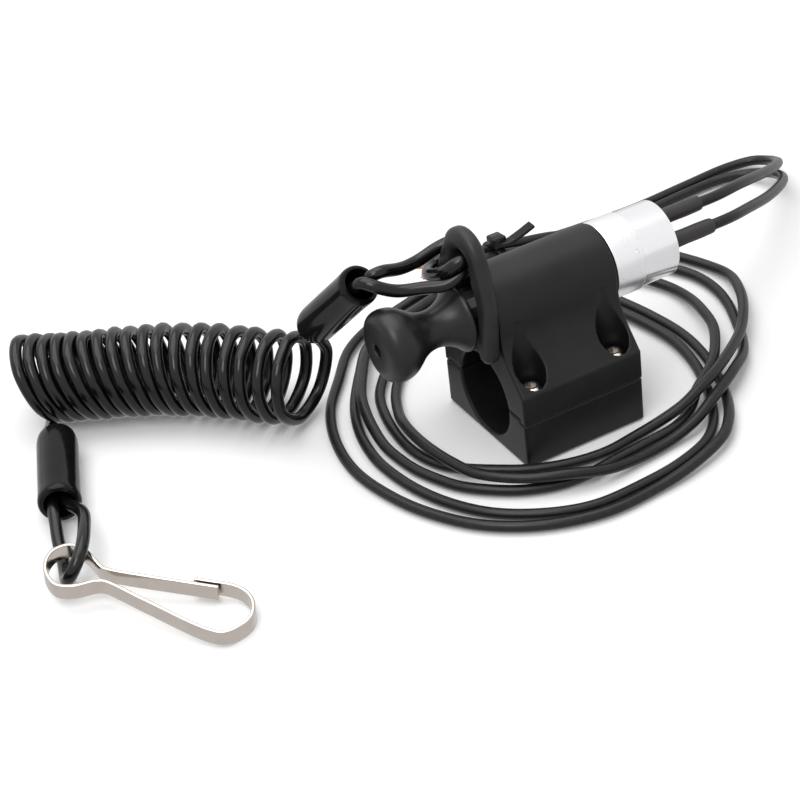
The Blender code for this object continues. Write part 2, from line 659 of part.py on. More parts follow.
def build_spring():
    """The return spring between the bush and the collar."""
    front = BUSH_REAR - GAP - SPRING_WIRE_R
    rear = COLLAR_S + GAP + SPRING_WIRE_R
    count = SPRING_TURNS * 10
    points = []
    for i in range(count + 1):
        turn = 2 * pi * SPRING_TURNS * i / count
        points.append((SPRING_R * cos(turn), -(front + (rear - front) * i / count),
                       AXIS_Z + SPRING_R * sin(turn)))
    return tube("return_spring", points, SPRING_WIRE_R, STAINLESS, 1)


def washer(name, inner, outer, front, thickness, look):
    """A flat ring on the switch axis."""
    profile = [(inner, front), (outer, front), (outer, front - thickness), (inner, front - thickness)]
    return turned(name, profile, look, steps=MEDIUM)


def build_rod_fittings():
    """The spring collar, its retaining ring, the contact disc and its nut."""
    _, ring, _, _, disc, nut = rod_stations()
    washer("spring_collar", ROD_R + GAP, COLLAR_R, COLLAR_S, COLLAR_T, STAINLESS)
    washer("retaining_ring", ROD_R - GROOVE_DEPTH + GAP, RING_R, ring, RING_T, STAINLESS)
    washer("contact_disc", PIN_R + GAP, DISC_R, disc, DISC_T, BRASS)
    build_nut("disc_nut", ALONG_SWITCH, nut - DISC_NUT_H, DISC_NUT_H, PIN_R + GAP, BRASS)


# Barrel

def build_barrel():
    """The switch barrel: a spigot in the housing, a thicker front band and a plain rear."""
    front = BUSH_REAR - GAP
    flange = -HALF_L - GAP
    step = PLATE_S + GAP
    profile = [
        (BARREL_BORE_R, front), (HOUSING_BORE_R - GAP, front), (HOUSING_BORE_R - GAP, flange),
        (FLANGE_R - 0.3, flange), (FLANGE_R, flange - 0.3), (FLANGE_R, FLANGE_END),
        (BARREL_R, FLANGE_END - 0.1), (BARREL_R, BARREL_END + 0.4),
        (BARREL_R - 0.4, BARREL_END), (COUNTERBORE_R, BARREL_END), (COUNTERBORE_R, step),
        (BARREL_BORE_R, step),
    ]
    barrel = turned("switch_barrel", profile, BRIGHT_ALLOY)
    dimple = along((FLANGE_R * sin(radians(60)), -FLANGE_END - 1.7, AXIS_Z + FLANGE_R * cos(radians(60))),
                   (0, -FLANGE_END - 1.7, AXIS_Z))
    return combine(barrel, cylinder_cutter("dimple", DIMPLE_R, -1, 0.7, dimple, 12))


def build_terminals():
    """The terminal plate and the two riveted contacts that the disc can bridge."""
    rear = PLATE_S - PLATE_T
    plate = turned("terminal_plate", [(PLATE_HOLE_R, PLATE_S), (COUNTERBORE_R - GAP, PLATE_S),
                                      (COUNTERBORE_R - GAP, rear), (PLATE_HOLE_R, rear)], BLACK_PLASTIC,
                   steps=MEDIUM)
    for i, (x, z) in enumerate(TERMINALS, 1):
        place = at(x, 0, AXIS_Z + z) @ ACROSS
        combine(plate, cylinder_cutter(f"rivet hole {i}", TERMINAL_SHANK_R + GAP, rear - 1, PLATE_S + 1,
                                       place, COARSE))
        head = PLATE_S + GAP
        tail = rear - GAP
        turned(f"contact_terminal_{i}", [
            (0, PLATE_S + TERMINAL_STAND), (TERMINAL_HEAD_R - 0.3, PLATE_S + TERMINAL_STAND),
            (TERMINAL_HEAD_R, PLATE_S + TERMINAL_STAND - 0.3), (TERMINAL_HEAD_R, head),
            (TERMINAL_SHANK_R, head), (TERMINAL_SHANK_R, tail), (TERMINAL_TAIL_R, tail),
            (TERMINAL_TAIL_R, tail - TERMINAL_TAIL + 0.3), (0, tail - TERMINAL_TAIL + 0.3),
        ], BRASS, place, COARSE)


def build_plug():
    """The rear plug: a skirt that holds the plate, and an end wall with the two wire holes."""
    front = PLATE_S - PLATE_T - GAP
    outer = COUNTERBORE_R - GAP
    rear = BARREL_END + GAP
    wall = rear + PLUG_T
    plug = turned("rear_plug", [(0, wall), (outer - PLUG_SKIRT, wall), (outer - PLUG_SKIRT, front),
                                (outer, front), (outer, rear), (0, rear)], BLACK_RUBBER, steps=MEDIUM)
    for i, (x, z) in enumerate(EXITS, 1):
        place = at(x, 0, AXIS_Z + z) @ ACROSS
        combine(plug, cylinder_cutter(f"wire hole {i}", WIRE_R + GAP, rear - 1, wall + 1, place, COARSE))
    return plug


def build_wires():
    """The two wires, their shrink sleeves at the barrel, and their bare ends."""
    for i, (route, (x, z), length, count) in enumerate(
            zip((WIRE_1_ROUTE, WIRE_2_ROUTE), EXITS, SLEEVE_LENGTHS, WIRE_POINTS), 1):
        start = (x, -WIRE_START, AXIS_Z + z)
        tube(f"wire_{i}", smooth_line([start] + route, count), WIRE_R, WIRE_PLASTIC)
        front = BARREL_END - GAP
        inner = WIRE_R + GAP
        turned(f"shrink_sleeve_{i}", [(inner, front), (inner + SLEEVE_WALL, front),
                                      (inner + SLEEVE_WALL, front - length), (inner, front - length)],
               BLACK_RUBBER, at(x, 0, AXIS_Z + z) @ ACROSS, COARSE)
        end = Vector(route[-1])
        onward = (end - Vector(route[-2])).normalized()
        tube(f"wire_core_{i}", [end + onward * s for s in CORE_STATIONS], CORE_R, COPPER)


# Cable tie

def build_tie():
    """The cable tie: a band round the wires, its lock on top and the cut tail standing off."""
    centre_z = TIE_R + 0.05
    band = revolve("cable_tie", [
        (TIE_R - TIE_BAND, TIE_W / 2), (TIE_R, TIE_W / 2), (TIE_R, -TIE_W / 2),
        (TIE_R - TIE_BAND, -TIE_W / 2),
    ], BLACK_PLASTIC, at(TIE_X, TIE_Y, centre_z) @ ACROSS, FINE)
    band = as_mesh(band)
    lock_place = (at(TIE_X + LOCK_X, TIE_Y, centre_z + TIE_R + TIE_BAND)
                  @ Matrix.Rotation(radians(LOCK_LEAN), 4, "Y"))
    lock = hide_cutter(box_mesh("tie lock", LOCK_SIZE, BLACK_PLASTIC, lock_place, 0.5, CUTTERS))
    combine(band, lock, "UNION")
    tail = hide_cutter(build_tail(centre_z + TIE_R))
    return combine(band, tail, "UNION")


def build_tail(top):
    """The tie's tail: a thin strip that leaves the lock and bends back and up, cut square."""
    path = smooth_line([Vector((TIE_X, TIE_Y, top)) + Vector(p) for p in TAIL_PATH], 9)
    mesh = bpy.data.meshes.new("tie tail")
    shape = bmesh.new()
    rows = []
    for i, place in enumerate(path):
        before, after = path[max(i - 1, 0)], path[min(i + 1, len(path) - 1)]
        onward = (after - before).normalized()
        across = onward.cross(Vector((0, 0, 1))).normalized() * (TIE_W / 2 - 0.05)
        rise = across.cross(onward).normalized() * TIE_BAND / 2
        corners = (place - across - rise, place + across - rise, place + across + rise,
                   place - across + rise)
        rows.append([shape.verts.new(c * MM) for c in corners])
    for low, high in zip(rows, rows[1:]):
        for k in range(4):
            shape.faces.new((low[k], low[(k + 1) % 4], high[(k + 1) % 4], high[k]))
    shape.faces.new(reversed(rows[0]))
    shape.faces.new(rows[-1])
    bmesh.ops.recalc_face_normals(shape, faces=shape.faces)
    shape.to_mesh(mesh)
    shape.free()
    return add_object("tie tail", mesh, BLACK_PLASTIC, CUTTERS)


# Fork clip

def fork_outline():
    """The horseshoe's outline: two legs that straddle the stem, and an eye for the cord."""
    inner = STEM_R + GAP
    outer = inner + FORK_LEG
    tip = FORK_LEG / 2
    meet = radians(FORK_ARC_MEET)
    side = (FORK_ARC_R * cos(meet), FORK_ARC_V + FORK_ARC_R * sin(meet))
    half = arc((0, FORK_EYE_V), FORK_EYE_R, 90, 0, 5)
    half += bezier((FORK_EYE_R, FORK_EYE_V), (FORK_EYE_R, FORK_WAIST_V), (inner, FORK_WAIST_V),
                   (inner, FORK_SHOULDER), 6)[1:]
    half += [(inner, FORK_SHOULDER), (inner, FORK_STRAIGHT)]
    half += arc((inner + tip, FORK_TIP + tip), tip, 180, 360, 7)
    half += [(outer, FORK_STRAIGHT)]
    half += bezier((outer, FORK_SHOULDER), (outer - 0.1, FORK_SHOULDER + 5.5), (8.9, 15.6), side, 6)
    half += arc((0, FORK_ARC_V), FORK_ARC_R, FORK_ARC_MEET, 90, 6)
    return mirrored(half)


def build_fork():
    """The fork clip, leaning a little to the screws' side."""
    place = at(0, -FORK_MIDDLE, AXIS_Z) @ Matrix.Rotation(radians(FORK_LEAN), 4, "Y") @ ACROSS
    return flat_curve("fork_clip", [fork_outline()], CLIP_PLASTIC, FORK_T, FORK_ROUND, place)


# Lanyard

def build_sleeve(name, ends, radius):
    """A cord sleeve: a lip at its open mouth, and an end wall that the single cord passes."""
    length = (Vector(ends[1]) - Vector(ends[0])).length
    profile = [
        (SLEEVE_BORE_R, length), (radius - 0.2, length), (radius + LIP_BAND, length - 0.4),
        (radius + LIP_BAND, length - 2.2), (radius, length - 2.6), (radius, 1.2), (radius - 0.4, 0.4),
        (radius - 1.2, 0), (TAIL_HOLE_R, 0), (TAIL_HOLE_R, TAIL_WALL), (SLEEVE_BORE_R, TAIL_WALL),
    ]
    turned(name, profile, BLACK_RUBBER, along(*ends), MEDIUM)
    return length


def along_sleeve(ends, distance, side=0.0):
    """A point on a sleeve's axis at a distance from its tail, moved sideways in the level plane."""
    tail, mouth = Vector(ends[0]), Vector(ends[1])
    onward = (mouth - tail).normalized()
    across = onward.cross(Vector((0, 0, 1))).normalized()
    return tail + onward * distance + across * side


def build_crimp(name, ends):
    """The metal crimp in a sleeve that joins the loop's two ends to the single cord."""
    low = TAIL_WALL + GAP
    profile = [(0, low + CRIMP_L), (CRIMP_R - 0.4, low + CRIMP_L), (CRIMP_R, low + CRIMP_L - 0.4),
               (CRIMP_R, low + 0.4), (CRIMP_R - 0.4, low), (0, low)]
    turned(name, profile, NICKEL, along(*ends), MEDIUM)
    return low + CRIMP_L


def loop_path(ends, start_side, middle):
    """A loop's points: out of the sleeve beside its axis, round, and back in on the other side."""
    length = (Vector(ends[1]) - Vector(ends[0])).length
    first = TAIL_WALL + CRIMP_L + 2 * GAP
    side = start_side * (CORD_R + GAP / 2)
    stations = (first, (first + length) / 2, length)
    out = [along_sleeve(ends, s, side) for s in stations]
    back = [along_sleeve(ends, s, -side) for s in reversed(stations)]
    return out + [Vector(p) for p in middle] + back


def coil_end(last, before, angle, ahead):
    """A point on the coil's turn at an angle, in degrees, some way ahead of the coil's end face."""
    last, before = Vector(last), Vector(before)
    onward = (last - before).normalized()
    across = Vector((0, 0, 1)).cross(onward).normalized()
    rise = onward.cross(across)
    radius = COIL_D / 2 - CORD_R
    turn = radians(angle)
    return last + onward * ahead + (across * cos(turn) + rise * sin(turn)) * radius


def build_lanyard():
    """The coiled cord as its outer shape, its two leads and loops, the sleeves and the crimps."""
    tube("lanyard_coil", smooth_line(COIL_AXIS, 17), COIL_D / 2, CORD_PLASTIC, 4)
    for name, ends, radius in (("clip", CLIP_SLEEVE, CLIP_SLEEVE_R), ("hook", HOOK_SLEEVE, HOOK_SLEEVE_R)):
        build_sleeve(f"{name}_end_sleeve", ends, radius)
        build_crimp(f"{name}_crimp", ends)
    inside = TAIL_WALL
    clip_lead = [coil_end(COIL_AXIS[-1], COIL_AXIS[-2], a, LEAD_AHEAD) for a in CLIP_LEAD_TURN]
    clip_lead += [along_sleeve(CLIP_SLEEVE, s) for s in (0, inside)]
    tube("clip_lead", smooth_line(clip_lead, 12), CORD_R, CORD_PLASTIC)
    hook_lead = [coil_end(COIL_AXIS[0], COIL_AXIS[1], a, LEAD_AHEAD) for a in HOOK_LEAD_TURN]
    hook_lead += [Vector(p) for p in HOOK_LEAD] + [along_sleeve(HOOK_SLEEVE, s) for s in (0, inside)]
    tube("hook_lead", smooth_line(hook_lead, 14), CORD_R, CORD_PLASTIC)
    tube("clip_loop", smooth_line(loop_path(CLIP_SLEEVE, -1, CLIP_LOOP), 41), CORD_R, CORD_PLASTIC)
    tube("hook_loop", smooth_line(loop_path(HOOK_SLEEVE, -1, HOOK_LOOP), 25), CORD_R, CORD_PLASTIC)


def build_hook():
    """The snap hook, bent from one strip: open nose, sprung gate and a ring for the cord."""
    curve = bpy.data.curves.new("snap_hook", "CURVE")
    curve.dimensions = "2D"
    curve.fill_mode = "NONE"
    curve.extrude = STRIP_H / 2 * MM
    spline = curve.splines.new("POLY")
    path = smooth_line([(x - HOOK_NOSE[0], y - HOOK_NOSE[1], 0) for x, y in HOOK_PATH], 72)
    spline.points.add(len(path) - 1)
    for point, place in zip(spline.points, path):
        point.co = (*(place * MM), 1)
    hook = add_object("snap_hook", curve, NICKEL)
    towards_ring = (Vector((-10.2, -128.0)) - Vector(HOOK_NOSE)).normalized()
    hinge = Vector((towards_ring.y, -towards_ring.x, 0))
    hook.matrix_world = (at(*HOOK_NOSE, 0.05) @ Matrix.Rotation(radians(HOOK_TILT), 4, hinge)
                         @ at(0, 0, STRIP_H / 2))
    hook = as_mesh(hook)
    wall = hook.modifiers.new("strip thickness", "SOLIDIFY")
    wall.thickness = STRIP_T * MM
    wall.offset = 0
    return hook


build_clamp()
build_screws()
build_plunger()
build_knob()
build_bush()
build_spring()
build_rod_fittings()
build_barrel()
build_terminals()
build_plug()
build_wires()
build_tie()
build_fork()
build_lanyard()
build_hook()
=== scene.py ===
# %% [markdown]
# # Dressing an engine kill switch
# The CAD part already has every shape where it belongs: a clamp for a handlebar, a barrel switch, a fork
# clip on a coiled lanyard, and two wires. This lesson gives each piece the roundness, the grain and the
# gloss of the real one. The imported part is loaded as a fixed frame, and nothing in it is moved.

# %% Load the frame
import json
import random
from math import asin, atan2, cos, degrees, hypot, pi, radians, sin, sqrt

import bmesh
import bpy
from mathutils import Matrix, Vector


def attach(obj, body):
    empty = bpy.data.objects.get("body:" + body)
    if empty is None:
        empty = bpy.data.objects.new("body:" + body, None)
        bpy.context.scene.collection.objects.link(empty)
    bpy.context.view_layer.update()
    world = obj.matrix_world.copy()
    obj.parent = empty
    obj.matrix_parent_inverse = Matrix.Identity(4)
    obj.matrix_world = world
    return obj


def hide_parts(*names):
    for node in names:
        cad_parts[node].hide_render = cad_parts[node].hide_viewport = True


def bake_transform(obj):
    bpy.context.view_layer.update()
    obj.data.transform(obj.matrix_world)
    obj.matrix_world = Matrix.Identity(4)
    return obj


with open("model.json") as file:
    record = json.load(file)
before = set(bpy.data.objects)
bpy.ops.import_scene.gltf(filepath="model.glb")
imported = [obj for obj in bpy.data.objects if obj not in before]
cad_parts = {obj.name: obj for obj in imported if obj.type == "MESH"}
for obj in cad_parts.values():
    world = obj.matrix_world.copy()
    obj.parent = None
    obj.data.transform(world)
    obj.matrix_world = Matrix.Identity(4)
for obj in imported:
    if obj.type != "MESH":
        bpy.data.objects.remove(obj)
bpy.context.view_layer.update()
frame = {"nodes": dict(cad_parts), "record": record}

MM = 0.001
BODY = {node: body for body, nodes in frame["record"]["behaviour"]["bodies"].items() for node in nodes}
SLOT = {row["node"]: row["material_slot"] for row in frame["record"]["subparts"]}

# %% [markdown]
# ## The camera comes first
# The photograph was taken with a long lens from the knob's side, 35 degrees above the bench and rolled a
# little. The place and the three axes below were fitted to the clamp's edges and the bar's bore, so the
# render lines up with the photograph. A camera is only a matrix: its columns are right, up and back.

# %% Camera
EYE = Vector((453.97, -262.72, 372.74)) * MM
RIGHT = (0.49876, 0.86102, -0.09942)
UP = (-0.45639, 0.35841, 0.81441)
BACK = (0.73685, -0.36082, 0.57172)
LENS, SENSOR = 114.75, 36.0        # millimetres
NEAREST, FARTHEST = 0.01, 20.0     # metres

camera = bpy.data.objects.new("camera", bpy.data.cameras.new("camera"))
bpy.context.scene.collection.objects.link(camera)
camera.matrix_world = Matrix.Translation(EYE) @ Matrix((RIGHT, UP, BACK)).transposed().to_4x4()
camera.data.lens, camera.data.sensor_width = LENS, SENSOR
camera.data.clip_start, camera.data.clip_end = NEAREST, FARTHEST
bpy.context.scene.camera = camera
print("camera", round(EYE.length, 3), "m from the clamp")

# %% [markdown]
# ## Shader sums written as sums
# A material that varies over its surface needs masks, and a mask is arithmetic. Wiring Math nodes by hand
# hides that. This small class wraps a socket, so `1 - mask * 0.3` adds the nodes and says what it does.

# %% A socket that can be added and multiplied
class Value:
    """A socket in a node tree; arithmetic on it adds Math nodes."""

    def __init__(self, nodes, socket):
        self.nodes, self.socket = nodes, socket

    def math(self, operation, *parts):
        """A Math node on these parts."""
        return self.nodes.node("Math", {"operation": operation}, dict(enumerate(parts)))

    def __add__(self, other):
        return self.math("ADD", self, other)

    def __sub__(self, other):
        return self.math("SUBTRACT", self, other)

    def __rsub__(self, other):
        return self.math("SUBTRACT", other, self)

    def __mul__(self, other):
        return self.math("MULTIPLY", self, other)

    def larger(self, other):
        """The larger of the two, which joins two masks."""
        return self.math("MAXIMUM", self, other)

    def between(self, low, high):
        """0 below low, 1 above high, and a smooth step from one to the other."""
        return self.nodes.node("MapRange", {"interpolation_type": "SMOOTHSTEP"},
                               {"Value": self, "From Min": low, "From Max": high})

    __radd__, __rmul__ = __add__, __mul__


# %% [markdown]
# ## One material at a time
# `Nodes` adds any node to a tree, so that materials and the sky are written alike. A `Look` is one
# Principled material. What is the same all over goes straight on the shader's own sockets. What changes
# over the surface is fed by nodes: colour, roughness and small relief. Every texture reads the object's
# own coordinates in metres, so a grain of 0.4 mm is a scale of 2500.

# %% The look of a surface
class Nodes:
    """A node tree, with one way to add a node to it."""

    def __init__(self, tree):
        self.tree = tree

    def feed(self, socket, value):
        """Links a value to a socket, or sets it."""
        if isinstance(value, Value):
            self.tree.links.new(value.socket, socket)
        else:
            socket.default_value = value

    def node(self, kind, settings=None, sockets=None, output=0):
        """Any node: its settings first, then the values or links of its sockets."""
        made = self.tree.nodes.new("ShaderNode" + kind)
        for name, value in (settings or {}).items():
            setattr(made, name, value)
        for name, value in (sockets or {}).items():
            self.feed(made.inputs[name], value)
        return Value(self, made.outputs[output])

    def ray(self, kind):
        """1 where a ray of this kind arrives, and 0 elsewhere."""
        return self.node("LightPath", output=f"Is {kind} Ray")


class Look(Nodes):
    """A Principled material with a few fixed numbers and the nodes that vary over the surface."""

    def __init__(self, name, colour, roughness, **fixed):
        self.material = bpy.data.materials.new(name)
        self.material.use_nodes = True
        super().__init__(self.material.node_tree)
        self.shader = self.tree.nodes["Principled BSDF"]
        self.feed(self.shader.inputs["Base Color"], (*colour, 1))
        self.feed(self.shader.inputs["Roughness"], roughness)
        for socket, value in fixed.items():
            self.feed(self.shader.inputs[socket.replace("_", " ").title().replace("Ior", "IOR")], value)
        self.place = self.node("TexCoord", output="Object")

    def grain(self, scale, detail=2.0, stretch=(1, 1, 1)):
        """Noise at so many grains a metre, stretched along an axis where stretch is small."""
        place = self.node("Mapping", {}, {"Vector": self.place, "Scale": stretch})
        return self.node("TexNoise", {}, {"Vector": place, "Scale": scale, "Detail": detail})

    def axis(self, which):
        """One coordinate of the surface, in millimetres."""
        return self.node("SeparateXYZ", {}, {"Vector": self.place}, which) * (1 / MM)

    def colours(self, share, low, high):
        """A colour between two, by share, as the base colour (a Mix node's colours are 6 and 7)."""
        mixed = self.node("Mix", {"data_type": "RGBA"}, {0: share, 6: (*low, 1), 7: (*high, 1)}, 2)
        self.feed(self.shader.inputs["Base Color"], mixed)

    def rough(self, value):
        """The roughness, from nodes."""
        self.feed(self.shader.inputs["Roughness"], value)

    def relief(self, height, depth):
        """Small relief: a height from 0 to 1 over so many millimetres."""
        bump = self.node("Bump", {}, {"Height": height, "Distance": depth * MM, "Strength": 1.0})
        self.feed(self.shader.inputs["Normal"], bump)


# %% [markdown]
# ## Black cord, glossy and slightly wavy
# The lanyard is a strand in a thick, glossy plastic. A thin coat gives it a sharp glint, but the plastic
# was drawn, wound and set in an oven, so long soft waves run along it and break the reflections. A low
# bump does that. Handling dulls it in places, so the roughness drifts over a centimetre or two.

# %% Cord and wire finishes
cord_look = Look("glossy cord plastic", (0.006, 0.006, 0.007), 0.3, specular_ior_level=0.28,
                 coat_weight=0.14, coat_roughness=0.05)
waves = cord_look.grain(170, 1.0)
handled = cord_look.grain(60, 3.0)
specks = cord_look.grain(2400, 2.0)
cord_look.colours(handled, (0.002, 0.002, 0.0024), (0.005, 0.0048, 0.0058))
cord_look.rough(handled * 0.14 + specks * 0.05 + 0.14)
cord_look.relief(waves + specks * 0.08, 0.06)

wire_look = Look("wire insulation", (0.012, 0.011, 0.012), 0.36, specular_ior_level=0.32)
scuffs = wire_look.grain(900, 4.0)
kinks = wire_look.grain(120, 1.0)
wire_look.colours(scuffs.between(0.45, 0.75), (0.009, 0.008, 0.0088), (0.017, 0.0152, 0.0166))
wire_look.rough(scuffs * 0.18 + kinks * 0.1 + 0.22)
wire_look.relief(kinks + scuffs * 0.12, 0.05)
print("cord finishes:", cord_look.material.name, "and", wire_look.material.name)

# %% [markdown]
# ## A smooth line through chosen points
# A cord's route is a short list of places it passes. A centripetal Catmull-Rom curve goes through each of
# them without loops or overshoot, whatever their spacing. It is then cut into even steps, so that the
# tube around it has no long facets in its bends.

# %% Smooth lines and round tubes
STEPS_A_SPAN = 12


def smooth_line(points, count):
    """Evenly spaced points on a centripetal Catmull-Rom curve through the points."""
    given = [Vector(p) for p in points]
    ends = [2 * given[0] - given[1]] + given + [2 * given[-1] - given[-2]]
    fine = []
    for p0, p1, p2, p3 in zip(ends, ends[1:], ends[2:], ends[3:]):
        t1 = (p1 - p0).length ** 0.5
        t2 = t1 + (p2 - p1).length ** 0.5
        t3 = t2 + (p3 - p2).length ** 0.5
        for i in range(STEPS_A_SPAN):
            t = t1 + (t2 - t1) * i / STEPS_A_SPAN
            a1 = p0 * ((t1 - t) / t1) + p1 * (t / t1)
            a2 = p1 * ((t2 - t) / (t2 - t1)) + p2 * ((t - t1) / (t2 - t1))
            a3 = p2 * ((t3 - t) / (t3 - t2)) + p3 * ((t - t2) / (t3 - t2))
            b1 = a1 * ((t2 - t) / t2) + a2 * (t / t2)
            b2 = a2 * ((t3 - t) / (t3 - t1)) + a3 * ((t - t1) / (t3 - t1))
            fine.append(b1 * ((t2 - t) / (t2 - t1)) + b2 * ((t - t1) / (t2 - t1)))
    fine.append(given[-1])
    lengths = [0.0]
    for a, b in zip(fine, fine[1:]):
        lengths.append(lengths[-1] + (b - a).length)
    made, k = [], 0
    for i in range(count):
        want = lengths[-1] * i / (count - 1)
        while k < len(fine) - 2 and lengths[k + 1] < want:
            k += 1
        share = (want - lengths[k]) / (lengths[k + 1] - lengths[k])
        made.append(fine[k].lerp(fine[k + 1], min(share, 1.0)))
    return made


def length_of(points):
    """The length of a line of points, in metres."""
    return sum((b - a).length for a, b in zip(points, points[1:])) * MM


def add(name, data, look):
    """A new object in the scene, wearing a look."""
    made = bpy.data.objects.new(name, data)
    bpy.context.scene.collection.objects.link(made)
    data.materials.append(look.material)
    return made


def round_line(name, lines, radius, look, ring=5):
    """Round cords along lines of points in millimetres, one open spline each."""
    curve = bpy.data.curves.new(name, "CURVE")
    curve.dimensions = "3D"
    curve.bevel_depth = radius * MM
    curve.bevel_resolution = ring
    curve.use_fill_caps = True
    for points in lines:
        spline = curve.splines.new("POLY")
        spline.points.add(len(points) - 1)
        for point, place in zip(spline.points, points):
            point.co = (*(Vector(place) * MM), 1)
        spline.use_smooth = True
    return add(name, curve, look)


def stand_for(piece, *nodes):
    """The piece rides where its CAD nodes ride and is shown in their place."""
    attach(piece, BODY[nodes[0]])
    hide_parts(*nodes)
    return piece


# %% [markdown]
# ## The two wires
# Each wire leaves the barrel straight, turns back over a hand's width, and then winds two or three times
# round the clamp on the bench before it ends bare by the fork. The routes are the same points that the
# CAD wires follow, so they lie on the bench and pass over each other in low humps, never through.

# %% Wire routes, in millimetres
WIRE_R = 1.4
WIRE_1 = [
    (-2.8, 26.3, 39.8), (-2.8, 36, 39.8), (-2.8, 46, 39.8), (-2.8, 55, 39.7), (-7, 66, 37.4),
    (-22, 86, 27), (-38, 101, 16.5), (-50, 109.5, 8.5), (-58, 113, 4), (-63.5, 111, 2.2),
    (-65.8, 103.5, 1.5), (-65.2, 90, 1.5), (-64, 70, 1.6), (-62.7, 48, 3.4), (-61.5, 22, 6.3),
    (-61.9, 6, 4), (-61, -8, 1.7), (-57.5, -20, 1.5), (-52, -28.3, 1.5), (-42.2, -36.5, 1.5),
    (-31.2, -45, 1.5), (-18.5, -50.4, 1.5), (-5.2, -52.5, 1.5), (8, -50.8, 1.5), (20, -46.7, 1.5),
    (32.1, -38.9, 1.5), (41.3, -26.8, 1.5), (46, -12, 1.5), (45.6, 2, 1.5), (44.2, 13, 2.2),
    (40.1, 25.3, 3), (35, 31, 3), (28.3, 35.6, 2.4), (19, 40, 1.6), (8.3, 43.4, 1.5), (-4, 44.9, 1.5),
    (-17, 43.4, 1.5), (-30, 40.3, 1.5), (-42, 36.5, 1.6), (-52.9, 31, 2.6), (-57.0, 22, 3.7),
    (-54.6, 6, 1.6), (-50.8, -6, 1.5), (-44.8, -17, 1.5), (-37, -25.6, 1.5), (-29.1, -31.7, 1.5),
    (-21, -34.8, 1.5), (-12.5, -36.5, 1.5), (-4.5, -36.9, 1.5), (2.5, -35.6, 1.5), (7.5, -33.2, 1.5),
    (12.1, -29, 1.5), (16, -24.4, 1.5), (20.2, -18.8, 1.5), (24.5, -9.4, 1.5), (26.2, 0.6, 1.5),
    (25.4, 9, 1.6), (25.5, 17, 3), (26, 24, 5.4), (24.5, 30, 7), (22.3, 35.5, 7.4), (15.3, 45.9, 6.6),
    (8, 54.5, 5.4), (-0.5, 61.6, 4.9), (-9.3, 66.8, 4), (-19, 70.2, 2.4), (-27.5, 69.2, 1.5),
    (-37, 65, 1.6), (-48.5, 57, 3), (-56.8, 44, 6.8), (-59.9, 22, 9.5), (-60.8, 12, 10.3),
    (-61.2, 4, 11.5),
]
WIRE_2 = [
    (3.2, 26.3, 36.2), (3.2, 36, 36.2), (3.2, 46, 36.2), (3.2, 55, 36.2), (-2.0, 65, 33),
    (-13.6, 80, 25.5), (-31, 97.5, 15.5), (-44, 106, 8.2), (-53, 108.3, 4), (-58.8, 105.5, 2),
    (-61.6, 98, 1.5), (-61.7, 88, 1.5), (-60.5, 70, 1.5), (-59.5, 48, 1.7), (-60.2, 22, 3.6),
    (-58.8, 8, 2), (-57, -6, 1.5), (-54.3, -16, 1.5), (-50.2, -23.6, 1.5), (-41.5, -30.6, 1.5),
    (-31.2, -37.8, 1.5), (-24.8, -41.2, 1.5), (-17.9, -43.8, 1.5), (-10.8, -45.4, 1.5), (-3.9, -46, 1.5),
    (9.4, -44.4, 1.5), (21, -40.2, 1.5), (30.5, -33.7, 1.5), (38.3, -23.3, 1.5), (42.2, -13, 1.5),
    (42.4, 0, 1.5), (41, 12, 1.5), (37.2, 22.8, 1.5), (32.4, 28.2, 1.5), (26.4, 32.2, 1.5),
    (18, 36.2, 1.5), (8, 39.7, 1.5), (-4, 41.3, 1.5), (-16.5, 39.8, 1.5), (-28.5, 36.7, 1.5),
    (-39, 33, 2.2), (-51.0, 30, 5.4), (-55.0, 22, 6.3), (-53.9, 9, 4.7), (-48.6, -3, 2.2),
    (-41.5, -13.5, 1.5), (-34.2, -22.6, 1.5), (-27.2, -28, 1.7), (-20.2, -31.5, 2.4), (-11.8, -34.5, 4.3),
    (-4.1, -35.3, 4.7), (3, -34.9, 4.7), (10, -33.7, 4.7), (17.7, -31.2, 4.7), (26.5, -23, 4.7),
    (31.8, -13, 4.6), (34.1, -4, 3.2), (33.4, 6, 1.8), (32.2, 16, 1.8), (31, 24, 3.5), (27.8, 31.5, 5),
    (24.6, 37.4, 5.3), (20.5, 43.5, 5), (14.5, 50.3, 3.2), (8, 55, 1.9), (0, 59, 1.5), (-8, 62.3, 1.5),
    (-16.3, 64.2, 1.5), (-25, 63.8, 1.5), (-33, 60.5, 1.5), (-43, 53.5, 1.6), (-51, 44, 3),
    (-55.8, 34, 5), (-58.1, 22, 6.4), (-56.6, 8, 5.4), (-53.8, -5, 4.8), (-50, -17, 4.7),
    (-44.5, -26.3, 4.7), (-37.1, -31.9, 4.7), (-27.8, -37.5, 4.7), (-22, -39.6, 4.1), (-15.6, -41, 3),
    (-9, -41.6, 1.8), (-2.6, -41.2, 1.5), (3.8, -40.2, 1.5), (10.1, -38, 1.5), (15.8, -35.2, 1.5),
    (21.8, -29.9, 1.5), (26.8, -23.5, 1.5), (30.2, -15.5, 1.5), (31, -7.4, 1.5), (30.2, 0, 1.5),
    (29.3, 9.4, 1.5), (28, 19.9, 1.5), (24.8, 26.6, 1.9), (21.4, 31.2, 4.2), (18.6, 36, 5), (14.6, 41, 5),
    (8.8, 45.9, 4.8), (1.1, 50.8, 4.5), (-6.9, 53.3, 4), (-15.1, 55.1, 2.8), (-24, 55, 1.8),
    (-34, 50.5, 2.4), (-45, 43.5, 4.5), (-53, 33, 8), (-56.4, 22, 9.4), (-57, 12, 9.8), (-57.3, 3.5, 10.6),
]

